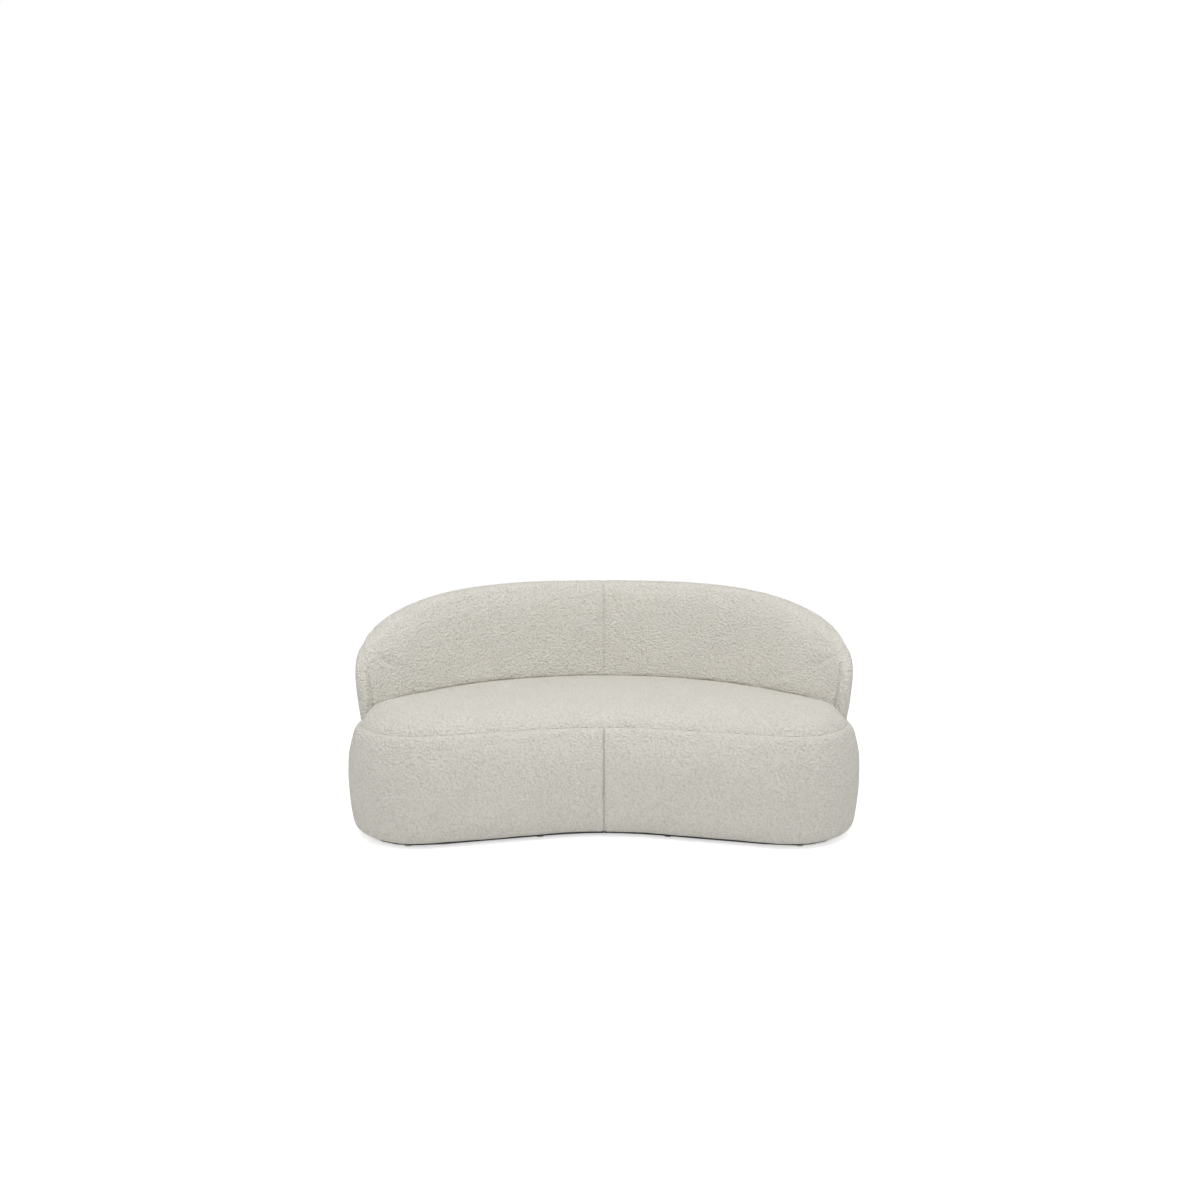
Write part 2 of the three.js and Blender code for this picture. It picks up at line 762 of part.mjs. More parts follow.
// Runs of the flat steps of one half of the back; each post lies in the middle of one step
function halfBackRuns() {
  const [, inner, outer] = postPlaceShares.map((share) => share * backEnd);
  const runs = [0, centreSeamInner, centreSeamOuter];
  const spread = (from, to, steps) => {
    for (let k = 1; k < steps; k += 1) runs.push(from + (to - from) * k / steps);
  };
  spread(centreSeamOuter, inner - postThickness, backSteps.middle);
  runs.push(inner - postThickness, inner + postThickness);
  spread(inner + postThickness, outer - postThickness, backSteps.shoulder);
  runs.push(outer - postThickness, outer + postThickness);
  for (const share of wingRunShares) runs.push(share * backEnd);
  return runs;
}

const backRuns = halfBackRuns();

// Stations of the back from one wing to the other, as far as a run
function acrossBack(reach) {
  const half = backRuns.filter((run) => run < reach - fitGap);
  const right = [...half, reach].map((run) => ({ run, side: 1 }));
  const left = right.slice(1).reverse().map(({ run }) => ({ run, side: -1 }));
  return [...left, ...right];
}

// The last step of the back at or below a run, and the first one beyond it
function stepBelow(run) {
  return Math.max(...backRuns.filter((step) => step <= run));
}

function stepBeyond(run) {
  return Math.min(...backRuns.filter((step) => step > run));
}

// A bar that follows the spine line between two distances across it, from a height up to a top
function spineBar(reach, across, bottom, topAt) {
  return sweep(acrossBack(reach).map(({ run, side }) => [
    spinePoint(run, side, across[0], bottom),
    spinePoint(run, side, across[1], bottom),
    spinePoint(run, side, across[1], topAt(run)),
    spinePoint(run, side, across[0], topAt(run)),
  ]));
}

const seatEnvelope = kidneyBody(sunkProfile(-fitGap), clothBottom - fitGap, spineHeight + fitGap);

// Covers of the back: a front and an outer panel on each side of the middle
function backPanel(side, turns, runs) {
  const root = turns[0] === 0 ? 'first' : 'last';
  const rows = (depth) => runs.map((run) => {
    const row = backRow(run, side, turns, depth);
    if (root === 'first') row.unshift(rooted(row, 0, backRoot));
    else row.push(rooted(row, row.length - 1, backHem));
    return row;
  });
  const outer = rows(0);
  const inner = rows(clothThickness);
  const sections = outer.map((row, k) => [...row, ...inner[k].slice().reverse()]);
  return sweep(sections, { runs, rows: sheetRows(outer[0].length) });
}

function buildBackCovers() {
  const front = [...frontTurns, backSeamShare];
  const rear = [backSeamShare + backSeamGapShare, ...rearTurns];
  const runs = [centreSeamGap / 2, ...backRuns.slice(1)];
  for (const [word, side] of [['right', 1], ['left', -1]]) {
    add(`back_cover_front_${word}`, cut(backPanel(side, front, runs), [seatEnvelope]), 'boucle');
    add(`back_cover_outer_${word}`, cut(backPanel(side, rear, runs), [seatEnvelope]), 'boucle');
  }
}

// Foam of the back: a front pad that wraps the crest and the wings, and a thinner pad behind the posts
function buildBackFoam() {
  const turns = [...frontTurns, backSeamShare, backSeamShare + backSeamGapShare, ...rearTurns];
  const stations = acrossBack(stepBelow(foamTipShare * backEnd));
  const whole = stations.map(({ run, side }) => {
    const row = backRow(run, side, turns, clothThickness + fitGap);
    row.unshift(rooted(row, 0, backRoot));
    row.push(rooted(row, row.length - 1, backHem - clothThickness));
    return row;
  });
  const along = { runs: stations.map(({ run }) => run), rows: plainRows(whole[0].length) };
  const body = cut(sweep(whole, along), [seatEnvelope]);
  const bottom = backFoot - 2 * backRoot;
  const padTop = (run) => crestAt(run) - crownPad;
  const reach = stepBelow(backEnd - cavityEndPad);
  const cavity = spineBar(reach, [postFront - fitGap, postRear + fitGap], bottom, padTop);
  const behind = [postRear, backFront];
  const padReach = stepBeyond(reach);
  const rearVoid = spineBar(padReach, behind, bottom, padTop);
  const rearPad = spineBar(padReach - fitGap, [postRear + 2 * fitGap, behind[1]], bottom,
    (run) => padTop(run) - fitGap);
  add('back_front_foam', cut(body, [cavity, rearVoid]), 'foam');
  add('back_rear_foam', common(body, rearPad), 'foam');
}

// Timber of the back: three curved rails let into five posts that stand on the seat's deck
const postFront = postRear - postDepth;
const legRear = postFront + legDepth;
const railTop = sofaHeight - crownPad - railEndGap - postTopGap;
const railBottom = spineHeight + fitGap + postTopGap;

const rails = [
  { name: 'back_rail_bottom', height: railBottom },
  { name: 'back_rail_middle', height: railBottom + midRailShare * (railTop - railThickness - railBottom) },
  { name: 'back_rail_top', height: railTop - railThickness },
];

function railReach(height) {
  const under = runAtCrest(height + railThickness + crownPad + postTopGap);
  return stepBelow(Math.min(backEnd - railEndPad, under - railEndGap));
}

function buildRails() {
  for (const { name, height } of rails) {
    const across = [postRear - railWidth, postRear];
    const bar = spineBar(railReach(height) - fitGap, across, height, () => height + railThickness);
    add(name, bar, 'plywood');
  }
}

// Outline of a post across the back: a leg, a wider upper part, and a notch at its rear for each rail
function postOutline(top) {
  const notchFront = postRear - railWidth - fitGap;
  const legTop = railBottom - fitGap;
  const shape = new THREE.Shape();
  shape.moveTo(postFront, deckHeight + fitGap);
  shape.lineTo(legRear, deckHeight + fitGap);
  shape.lineTo(legRear, legTop);
  const notched = rails.filter(({ height }) => height + railThickness + postTopGap < top);
  for (const { height } of notched) {
    if (height > railBottom) shape.lineTo(postRear, height - fitGap);
    shape.lineTo(notchFront, height - fitGap);
    shape.lineTo(notchFront, height + railThickness + fitGap);
    shape.lineTo(postRear, height + railThickness + fitGap);
  }
  shape.lineTo(postRear, top);
  shape.lineTo(postFront, top);
  shape.closePath();
  return shape;
}

// Stands a piece drawn across the spine line up at a post, in the middle of the flat step that it lies on
function standAt(geometry, post) {
  const place = spine(post.run, post.side);
  const radius = post.run < spineRear * rearTurn ? spineRear : spineHaunch;
  const sag = radius * (1 - Math.cos(postThickness / radius));
  const across = new THREE.Vector3(place.out.x, place.out.y, 0);
  const up = new THREE.Vector3(0, 0, 1);
  const along = new THREE.Vector3().crossVectors(across, up);
  const frame = new THREE.Matrix4().makeBasis(across, up, along);
  frame.setPosition(place.x - sag * across.x, place.y - sag * across.y, 0);
  return geometry.applyMatrix4(frame);
}

function legHole(post) {
  const height = spineHeight - deckHeight;
  const hole = new THREE.BoxGeometry(legDepth + 2 * legGap, 2 * height, postThickness + 2 * legGap);
  hole.translate((postFront + legRear) / 2, deckHeight + height, 0);
  return standAt(hole, post);
}

function boltHole(post) {
  const hole = new THREE.CylinderGeometry(boltRadius + fitGap, boltRadius + fitGap,
    2 * boltGrip + boardThickness, roundStepCount);
  hole.translate((postFront + legRear) / 2, deckHeight - boardThickness / 2, 0);
  return standAt(hole, post);
}

function buildBolt(post, name) {
  const bottom = deckBottom - fitGap - boltHeadHeight;
  const profile = [
    new THREE.Vector2(0, bottom),
    new THREE.Vector2(boltHeadRadius, bottom),
    new THREE.Vector2(boltHeadRadius, bottom + boltHeadHeight),
    new THREE.Vector2(boltRadius, bottom + boltHeadHeight),
    new THREE.Vector2(boltRadius, deckHeight + boltGrip),
    new THREE.Vector2(0, deckHeight + boltGrip),
  ];
  const bolt = new THREE.LatheGeometry(profile, roundStepCount);
  bolt.translate((postFront + legRear) / 2, 0, 0);
  add(name, standAt(bolt, post), 'zincSteel');
}

function buildPosts() {
  posts.forEach((post, k) => {
    const top = crestAt(post.run + postThickness) - crownPad - postTopGap;
    const body = new THREE.ExtrudeGeometry(postOutline(top), { depth: postThickness, bevelEnabled: false });
    body.translate(0, 0, -postThickness / 2);
    const drill = new THREE.CylinderGeometry(boltRadius + fitGap, boltRadius + fitGap,
      2 * (boltGrip + fitGap), roundStepCount);
    drill.translate((postFront + legRear) / 2, deckHeight, 0);
    add(`back_post_${k + 1}`, standAt(cut(body, [drill]), post), 'plywood');
    buildBolt(post, `back_bolt_${k + 1}`);
  });
}

buildPlinth();
buildSeatFrame();
buildStraps();
buildSeatFoam();
buildSeatCovers();
buildRails();
buildPosts();
buildBackFoam();
buildBackCovers();

// The origin goes to the middle of the base
const box = new THREE.Box3().setFromObject(sofa);
sofa.position.y = -(box.min.y + box.max.y) / 2;
sofa.updateMatrixWorld(true);

export default sofa;
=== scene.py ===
"""A curved boucle sofa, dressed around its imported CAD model.

The covers that the CAD model holds as faceted sheets are worked out again here as smooth surfaces from the
same sizes, blown up a little as cloth between their sewn edges, and given a thickness. Metres, +Z up, the
front faces -Y. An inset is a distance inward from the widest outline of the seat block. A run is a distance
along a curve: from the middle of the front round the seat outline, or from the middle of the back along it.
"""
import json
import logging
import math
from dataclasses import dataclass, field
from enum import Enum, IntEnum
from functools import cached_property, partial
from typing import Any, Callable

import bpy
import numpy as np
from numpy.typing import NDArray
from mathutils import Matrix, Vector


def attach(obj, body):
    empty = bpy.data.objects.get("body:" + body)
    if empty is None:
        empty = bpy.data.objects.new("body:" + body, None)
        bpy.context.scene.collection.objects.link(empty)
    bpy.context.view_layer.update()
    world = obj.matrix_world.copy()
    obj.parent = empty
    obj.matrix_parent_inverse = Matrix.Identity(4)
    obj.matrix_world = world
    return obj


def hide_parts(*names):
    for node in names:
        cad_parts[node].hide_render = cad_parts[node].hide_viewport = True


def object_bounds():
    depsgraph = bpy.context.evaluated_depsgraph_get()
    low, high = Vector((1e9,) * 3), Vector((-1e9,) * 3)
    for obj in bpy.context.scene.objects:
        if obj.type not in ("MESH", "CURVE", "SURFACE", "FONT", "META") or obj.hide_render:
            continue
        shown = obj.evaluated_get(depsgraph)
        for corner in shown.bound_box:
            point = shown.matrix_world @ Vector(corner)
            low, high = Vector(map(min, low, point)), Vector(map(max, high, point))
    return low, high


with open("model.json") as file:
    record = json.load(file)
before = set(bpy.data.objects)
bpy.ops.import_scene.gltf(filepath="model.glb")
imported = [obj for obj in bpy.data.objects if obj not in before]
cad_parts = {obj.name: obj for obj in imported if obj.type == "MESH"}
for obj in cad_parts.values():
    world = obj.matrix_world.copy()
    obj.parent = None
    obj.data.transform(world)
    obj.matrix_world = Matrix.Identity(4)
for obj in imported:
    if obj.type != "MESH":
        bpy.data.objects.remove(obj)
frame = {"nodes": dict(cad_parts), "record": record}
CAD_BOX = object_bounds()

Array = NDArray[np.float64]
Indices = NDArray[np.int64]

TINY = 1e-15
"""The least that anything is divided by."""

log = logging.getLogger("curved_sofa")


class Side(Enum):
    """The two halves of the sofa, with the sign of their X."""

    RIGHT = 1.0
    LEFT = -1.0


class Stretch(IntEnum):
    """The pieces of half the seat's outline, from the middle of the front to the middle of the rear."""

    HOLLOW = 0
    FLANK = 1
    SHOULDER = 2
    LOBE = 3
    HAUNCH = 4
    REAR = 5


# Curves and grids


def bell(distance: Array, width: float) -> Array:
    """Gives a bell curve: e to the power of minus the squared ratio of distance to width.

    Args:
        distance: Distances from the middle of the bell.
        width: Distance at which the bell has fallen to about a third.

    Returns:
        Values from 0 to 1.
    """
    return np.exp(-((distance / width) ** 2))


def ease(value: Array) -> Array:
    """Eases 0..1 in and out: 3 v squared minus 2 v cubed, held at 0 and 1 outside.

    Args:
        value: Shares, of any size.

    Returns:
        Eased shares from 0 to 1.
    """
    held = np.clip(value, 0.0, 1.0)
    return held * held * (3.0 - 2.0 * held)


def graded(start: float, stop: float, first: float, step: float, ends: tuple[bool, bool],
           growth: float = 1.35) -> Array:
    """Spreads places from start to stop that lie close beside a sewn end and even elsewhere.

    The spacing beside a sewn end is first, and it grows by a fixed ratio until it is step. The places are the
    running sum of the spacings, stretched to fit exactly.

    Args:
        start: First place.
        stop: Last place.
        first: Spacing beside a sewn end.
        step: Even spacing away from it.
        ends: Whether the start and the stop are sewn ends.
        growth: Ratio from one spacing to the next.

    Returns:
        Places from start to stop, rising.
    """
    close = first * growth ** np.arange(math.ceil(math.log(step / first, growth)))
    even = max(int(round((stop - start - close.sum() * sum(ends)) / step)), 2)
    spacing = np.full(even, step)
    if ends[0]:
        spacing = np.concatenate([close, spacing])
    if ends[1]:
        spacing = np.concatenate([spacing, close[::-1]])
    places = np.concatenate([[0.0], np.cumsum(spacing)])
    return start + places * (stop - start) / places[-1]


def smooth_curve(points: Array, places: Callable[[float], Array]) -> tuple[Array, Array]:
    """Carries a smooth curve through points and reads it at new places along it.

    The curve is a natural cubic spline over the distance along the chords: its second differences solve one
    linear system, with none at the two ends.

    Args:
        points: Points of the curve, one per line.
        places: Gives the distances to read at, from the curve's whole length.

    Returns:
        Points on the curve, one per line, and the distances that they lie at.
    """
    gaps = np.linalg.norm(np.diff(points, axis=0), axis=1)
    knots = np.concatenate([[0.0], np.cumsum(gaps)])
    count = len(points)
    system = np.eye(count)
    inner = np.arange(1, count - 1)
    system[inner, inner - 1] = gaps[:-1] / 6.0
    system[inner, inner] = (gaps[:-1] + gaps[1:]) / 3.0
    system[inner, inner + 1] = gaps[1:] / 6.0
    slopes = np.diff(points, axis=0) / gaps[:, None]
    right = np.zeros_like(points)
    right[1:-1] = np.diff(slopes, axis=0)
    bends = np.linalg.solve(system, right)
    at = places(float(knots[-1]))
    span = np.clip(np.searchsorted(knots, at, side="right") - 1, 0, count - 2)
    width = gaps[span][:, None]
    late = (at[:, None] - knots[span][:, None]) / width
    early = 1.0 - late
    bent = (early**3 - early) * bends[span] + (late**3 - late) * bends[span + 1]
    return early * points[span] + late * points[span + 1] + bent * width**2 / 6.0, at


def grid_faces(rows: int, columns: int, closed: bool = False) -> Indices:
    """Lists the four corners of each cell of a grid whose points are stored row by row.

    Args:
        rows: Number of rows.
        columns: Number of columns.
        closed: Whether the last column joins the first.

    Returns:
        One line of four point numbers per cell, turned the same way.
    """
    row, column = np.meshgrid(np.arange(rows - 1), np.arange(columns if closed else columns - 1), indexing="ij")
    after = (column + 1) % columns
    row, below = row * columns, (row + 1) * columns
    return np.stack([row + column, row + after, below + after, below + column], axis=-1).reshape(-1, 4)


def turn_outward(points: Array, faces: Indices, inside: Array) -> Indices:
    """Turns all faces round if their sum looks towards a point inside.

    Args:
        points: Points of the surface.
        faces: Cells as four point numbers.
        inside: A point on the inner side of the surface.

    Returns:
        The faces, facing away from the point.
    """
    a, b, c = (points[faces[:, k]] for k in range(3))
    normals = np.cross(b - a, c - a)
    towards = float(np.sum(normals * (a - inside)))
    return faces if towards > 0.0 else faces[:, ::-1]


def point_normals(points: Array, faces: Indices) -> Array:
    """Gives each point the mean direction of the cells around it: the sum of their diagonals' cross products.

    Args:
        points: Points of the surface.
        faces: Cells as four point numbers.

    Returns:
        One unit direction per point.
    """
    crossed = np.cross(points[faces[:, 2]] - points[faces[:, 0]], points[faces[:, 3]] - points[faces[:, 1]])
    sums = np.zeros_like(points)
    for corner in range(4):
        np.add.at(sums, faces[:, corner], crossed)
    return sums / np.maximum(np.linalg.norm(sums, axis=1, keepdims=True), TINY)


def corner_normals(points: Array, faces: Indices) -> Array:
    """Gives each point the mean direction of the triangles at it, each weighed by its angle there.

    Args:
        points: Points of the surface.
        faces: Triangles as three point numbers.

    Returns:
        One unit direction per point.
    """
    corners = points[faces]
    flat = np.cross(corners[:, 1] - corners[:, 0], corners[:, 2] - corners[:, 0])
    flat /= np.maximum(np.linalg.norm(flat, axis=1, keepdims=True), TINY)
    total = np.zeros_like(points)
    for corner in range(3):
        ahead = corners[:, (corner + 1) % 3] - corners[:, corner]
        back = corners[:, (corner + 2) % 3] - corners[:, corner]
        lengths = np.linalg.norm(ahead, axis=1) * np.linalg.norm(back, axis=1)
        angle = np.arccos(np.clip(np.sum(ahead * back, axis=1) / np.maximum(lengths, TINY), -1.0, 1.0))
        np.add.at(total, faces[:, corner], angle[:, None] * flat)
    return total / np.maximum(np.linalg.norm(total, axis=1, keepdims=True), TINY)


def rim_edges(faces: Indices) -> Indices:
    """Finds the open edges of a surface: those that no other cell goes along the other way.

    Args:
        faces: Cells as four point numbers.

    Returns:
        One line of two point numbers per open edge.
    """
    edges = np.concatenate([faces[:, [k, (k + 1) % 4]] for k in range(4)])
    edges = edges[edges[:, 0] != edges[:, 1]]
    base = int(faces.max()) + 1
    ahead = edges[:, 0] * base + edges[:, 1]
    back = edges[:, 1] * base + edges[:, 0]
    return edges[~np.isin(ahead, back)]


def waves(points: Array, length: float, count: int, seed: int, spread: tuple[float, float] = (0.75, 1.3)) -> Array:
    """Gives a gentle random unevenness: the mean of sine waves in random directions.

    Args:
        points: Places to read.
        length: Wavelength in metres.
        count: Number of waves.
        seed: Seed of the random directions.
        spread: Least and most frequency of a wave, over that of the wavelength.

    Returns:
        One value per point, mostly between -1 and 1.
    """
    chance = np.random.default_rng(seed)
    directions = chance.normal(size=(3, count))
    directions /= np.linalg.norm(directions, axis=0)
    phases = chance.uniform(0.0, 2.0 * np.pi, count)
    stretch = chance.uniform(*spread, count)
    return np.sin(points @ (directions * stretch) * (2.0 * np.pi / length) + phases).sum(axis=1) / math.sqrt(count)


# Cloth


@dataclass(frozen=True)
class Cloth:
    """How the upholstery cloth gives under the foam that presses on it from inside.

    Attributes:
        thickness: Thickness of the cloth in metres.
        fold: How much deeper a sewn edge is, where the cloth folds in.
        pressure: Pressure from inside, in the solver's units.
        frames: Frames that the cloth is left to settle.
        quality: Steps of the solver in a frame.
        mass: Mass of a point, in kilograms.
        stretch: Stiffness of the threads.
        shear: Stiffness against shear.
        bending: Stiffness against bending.
        reach: The most that a point may move, in metres.
        slack: Way out over which a point lifts off the foam.
        layers: Height and wavelength of each layer of unevenness.
        wave_count: Number of waves in a layer.
    """

    thickness: float = 0.003
    fold: float = 0.002
    pressure: float = 4.0
    frames: int = 20
    quality: int = 4
    mass: float = 0.3
    stretch: float = 40.0
    shear: float = 10.0
    bending: float = 0.5
    reach: float = 0.006
    slack: float = 0.0015
    layers: tuple[tuple[float, float], ...] = ((0.0007, 0.24), (0.0003, 0.07))
    wave_count: int = 14

    def settle(self, name: str, points: Array, faces: Indices, pinned: Indices) -> Array:
        """Lets the cloth swell between its sewn edges and reads where it comes to rest.

        Where the cloth would sink, the foam holds it up, so only the way out is kept. A longer way is shortened
        towards the reach by a hyperbolic tangent.

        Args:
            name: Name of the cloth while it settles.
            points: Points of the cloth.
            faces: Cells as four point numbers.
            pinned: Numbers of the points that are sewn down.

        Returns:
            The points after the swelling, none moved by more than the reach.
        """
        mesh = mesh_from(name, points, faces)
        cloth = bpy.data.objects.new(name, mesh)
        bpy.context.scene.collection.objects.link(cloth)
        group = cloth.vertex_groups.new(name="sewn")
        group.add(pinned.tolist(), 1.0, "REPLACE")
        modifier = cloth.modifiers.new("cloth", "CLOTH")
        settings = modifier.settings
        settings.quality = self.quality
        settings.mass = self.mass
        settings.tension_stiffness = self.stretch
        settings.compression_stiffness = self.stretch
        settings.shear_stiffness = self.shear
        settings.bending_stiffness = self.bending
        settings.vertex_group_mass = "sewn"
        settings.use_pressure = True
        settings.uniform_pressure_force = self.pressure
        settings.effector_weights.gravity = 0.0
        modifier.collision_settings.use_collision = False
        modifier.collision_settings.use_self_collision = False
        scene = bpy.context.scene
        for step in range(1, self.frames + 1):
            scene.frame_set(step)
        settled = cloth.evaluated_get(bpy.context.evaluated_depsgraph_get())
        moved = mesh_points(settled.data) - points
        bpy.data.objects.remove(cloth)
        bpy.data.meshes.remove(mesh)
        scene.frame_set(1)
        normals = point_normals(points, faces)
        out = np.sum(moved * normals, axis=1, keepdims=True)
        moved = moved + (np.maximum(out, 0.0) * ease(out / self.slack) - out) * normals
        lengths = np.maximum(np.linalg.norm(moved, axis=1, keepdims=True), TINY)
        log.info("%s swells by %.1f mm at most, before that is shortened", name, 1000.0 * lengths.max())
        return points + moved * self.reach * np.tanh(lengths / self.reach) / lengths

    def unevenness(self, points: Array, seed: int) -> Array:
        """Way out of each point from the cloth's smooth shape: the sum of the layers of waves, seeded in turn."""
        layers = enumerate(self.layers)
        return sum(height * waves(points, length, self.wave_count, seed + k) for k, (height, length) in layers)


def mesh_points(mesh: bpy.types.Mesh) -> Array:
    """Reads a mesh's points.

    Args:
        mesh: The mesh.

    Returns:
        Its points, one per line.
    """
    flat = np.empty(3 * len(mesh.vertices))
    mesh.vertices.foreach_get("co", flat)
    return flat.reshape(-1, 3)


def mesh_from(name: str, points: Array, faces: Indices) -> bpy.types.Mesh:
    """Makes a smooth-shaded mesh; a cell with two equal corners becomes a triangle.

    Args:
        name: Name of the mesh.
        points: Points of the mesh.
        faces: Cells as four point numbers.

    Returns:
        The mesh.
    """
    after = np.roll(faces, -1, axis=1)
    kept = faces != after
    counts = kept.sum(axis=1)
    whole = counts >= 3
    corners = faces[whole][kept[whole]]
    counts = counts[whole]
    mesh = bpy.data.meshes.new(name)
    mesh.vertices.add(len(points))
    mesh.vertices.foreach_set("co", points.astype(np.float32).ravel())
    mesh.loops.add(len(corners))
    mesh.loops.foreach_set("vertex_index", corners.astype(np.int32))
    mesh.polygons.add(len(counts))
    starts = np.concatenate([[0], np.cumsum(counts)[:-1]])
    mesh.polygons.foreach_set("loop_start", starts.astype(np.int32))
    mesh.polygons.foreach_set("use_smooth", np.ones(len(counts), dtype=bool))
    mesh.update(calc_edges=True)
    mesh.validate()
    return mesh


def closed_sheet(points: Array, faces: Indices, thickness: Array) -> tuple[Array, Indices]:
    """Gives an open surface a thickness: the inner side is the outer one moved in along its normals.

    Args:
        points: Points of the outer side.
        faces: Cells of the outer side, facing out.
        thickness: Thickness of the sheet at each point, in metres.

    Returns:
        Points and cells of the closed sheet.
    """
    count = len(points)
    inner = points - thickness[:, None] * point_normals(points, faces)
    rim = rim_edges(faces)
    walls = np.stack([rim[:, 1], rim[:, 0], rim[:, 0] + count, rim[:, 1] + count], axis=1)
    return np.concatenate([points, inner]), np.concatenate([faces, faces[:, ::-1] + count, walls])


@dataclass(frozen=True)
class Cover:
    """One sewn panel of the upholstery.

    Attributes:
        name: Name of the finished piece.
        node: CAD node that it stands for.
        points: Points of its outer side.
        faces: Cells of its outer side, facing out.
        sewn: Numbers of the points on its sewn edges.
        seed: Seed of its unevenness.
    """

    name: str
    node: str
    points: Array
    faces: Indices
    sewn: Indices
    seed: int

    def finish(self, cloth: Cloth, material: bpy.types.Material) -> None:
        """Settles the panel as cloth, gives it a thickness and its material, and puts it on the frame.

        Args:
            cloth: How the cloth gives, and how thick it is.
            material: The upholstery.
        """
        settled = cloth.settle(f"{self.name}_settling", self.points, self.faces, self.sewn)
        uneven = cloth.unevenness(settled, self.seed)
        uneven[self.sewn] = 0.0
        settled = settled + uneven[:, None] * point_normals(settled, self.faces)
        deep = np.full(len(settled), cloth.thickness)
        deep[np.unique(rim_edges(self.faces))] += cloth.fold
        points, faces = closed_sheet(settled, self.faces, deep)
        piece = bpy.data.objects.new(self.name, mesh_from(self.name, points, faces))
        bpy.context.scene.collection.objects.link(piece)
        rounding = piece.modifiers.new("rounding", "SUBSURF")
        rounding.levels = 1
        rounding.render_levels = 1
        piece.data.materials.append(material)
        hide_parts(self.node)
        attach(piece, "root")
        log.info("%s: %d points", self.name, len(points))


# Seat


@dataclass(frozen=True)
class Outline:
    """Seat outline of tangent arcs and one straight flank on each side, seen from above.

    Attributes:
        width: Width over both lobes.
        depth: Depth from the lobes' front to the rear middle.
        hollow: How far the front middle lies behind the lobes' front.
        hollow_radius: Radius of the hollow in the middle of the front.
        shoulder_radius: Radius between a flank and a lobe.
        lobe_radius: Radius of each lobe.
        rear_turn: Angle of the rear arc on each side of the middle.
    """

    width: float = 1.750
    depth: float = 0.915
    hollow: float = 0.118
    hollow_radius: float = 0.736
    shoulder_radius: float = 0.466
    lobe_radius: float = 0.248
    rear_turn: float = math.radians(45.0)

    @cached_property
    def reach(self) -> float:
        """Distance from the middle to the centre of a lobe."""
        return self.width / 2.0 - self.lobe_radius

    @cached_property
    def bend(self) -> float:
        """Angle at which the straight flank runs."""
        bends = self.hollow_radius + self.shoulder_radius
        lean = bends - self.hollow
        return math.atan2(self.reach, lean) - math.acos(bends / math.hypot(self.reach, lean))

    @cached_property
    def flank(self) -> float:
        """Length of the straight flank."""
        bends = self.hollow_radius + self.shoulder_radius
        return (self.reach - bends * math.sin(self.bend)) / math.cos(self.bend)

    @cached_property
    def haunch_radius(self) -> float:
        """Radius between a lobe and the rear arc."""
        s, c = math.sin(self.rear_turn), math.cos(self.rear_turn)
        back = self.depth - self.lobe_radius
        return (self.width / 2.0 * (1.0 - c) - back * s) / ((1.0 - s) * (1.0 - c) - s * c)

    @cached_property
    def rear_radius(self) -> float:
        """Radius of the rear arc."""
        s = math.sin(self.rear_turn)
        return (self.width / 2.0 - self.haunch_radius * (1.0 - s)) / s

    @cached_property
    def lengths(self) -> Array:
        """Lengths of the stretches, from the hollow to the rear."""
        quarter = math.pi / 2.0
        return np.array([
            self.hollow_radius * self.bend, self.flank, self.shoulder_radius * self.bend,
            self.lobe_radius * quarter, self.haunch_radius * (quarter - self.rear_turn),
            self.rear_radius * self.rear_turn,
        ])

    @cached_property
    def length(self) -> float:
        """Length of one half of the outline, from the front middle to the rear middle."""
        return float(self.lengths.sum())

    def heading(self, run: Array) -> tuple[Indices, Array, Array]:
        """Finds the stretch that each run lies on.

        Args:
            run: Runs from the front middle.

        Returns:
            The number of the stretch, the distance along it, and the direction there as an angle.
        """
        starts = np.concatenate([[0.0], np.cumsum(self.lengths)[:-1]])
        piece = np.clip(np.searchsorted(starts, run, side="right") - 1, Stretch.HOLLOW, Stretch.REAR)
        left = run - starts[piece]
        begins = np.array([0.0, -self.bend, -self.bend, 0.0, math.pi / 2.0, math.pi - self.rear_turn])
        return piece, left, begins[piece] + np.where(piece == Stretch.FLANK, 0.0, left / self.radii[piece])

    @cached_property
    def radii(self) -> Array:
        """Radii of the stretches; the hollow bends the other way, and the flank's value is not used."""
        return np.array([
            -self.hollow_radius, 1.0, self.shoulder_radius, self.lobe_radius, self.haunch_radius, self.rear_radius,
        ])

    def rim(self, run: Array, inset: Array) -> tuple[Array, Array]:
        """Places on the right half of the outline, moved inward.

        On an arc the place is the centre plus the radius less the inset, along the sine and minus the cosine of
        the angle. On the flank it is a point on the straight line, moved square to it.

        Args:
            run: Runs from the front middle.
            inset: Distances inward.

        Returns:
            X and Y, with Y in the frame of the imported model.
        """
        piece, left, angle = self.heading(run)
        half = self.width / 2.0
        centre_x = np.array([0.0, 0.0, self.reach, self.reach, half - self.haunch_radius, 0.0])[piece]
        centre_y = np.array([
            self.hollow - self.hollow_radius, 0.0, self.shoulder_radius, self.lobe_radius, self.lobe_radius,
            self.depth - self.rear_radius,
        ])[piece]
        radius = self.radii[piece]
        x = centre_x + (radius - inset) * np.sin(angle)
        y = centre_y - (radius - inset) * np.cos(angle)
        s, c = math.sin(self.bend), math.cos(self.bend)
        flank_x = self.hollow_radius * s + left * c + inset * s
        flank_y = self.hollow - self.hollow_radius * (1.0 - c) - left * s + inset * c
        straight = piece == Stretch.FLANK
        return np.where(straight, flank_x, x), np.where(straight, flank_y, y) + CAD_BOX[0][1]


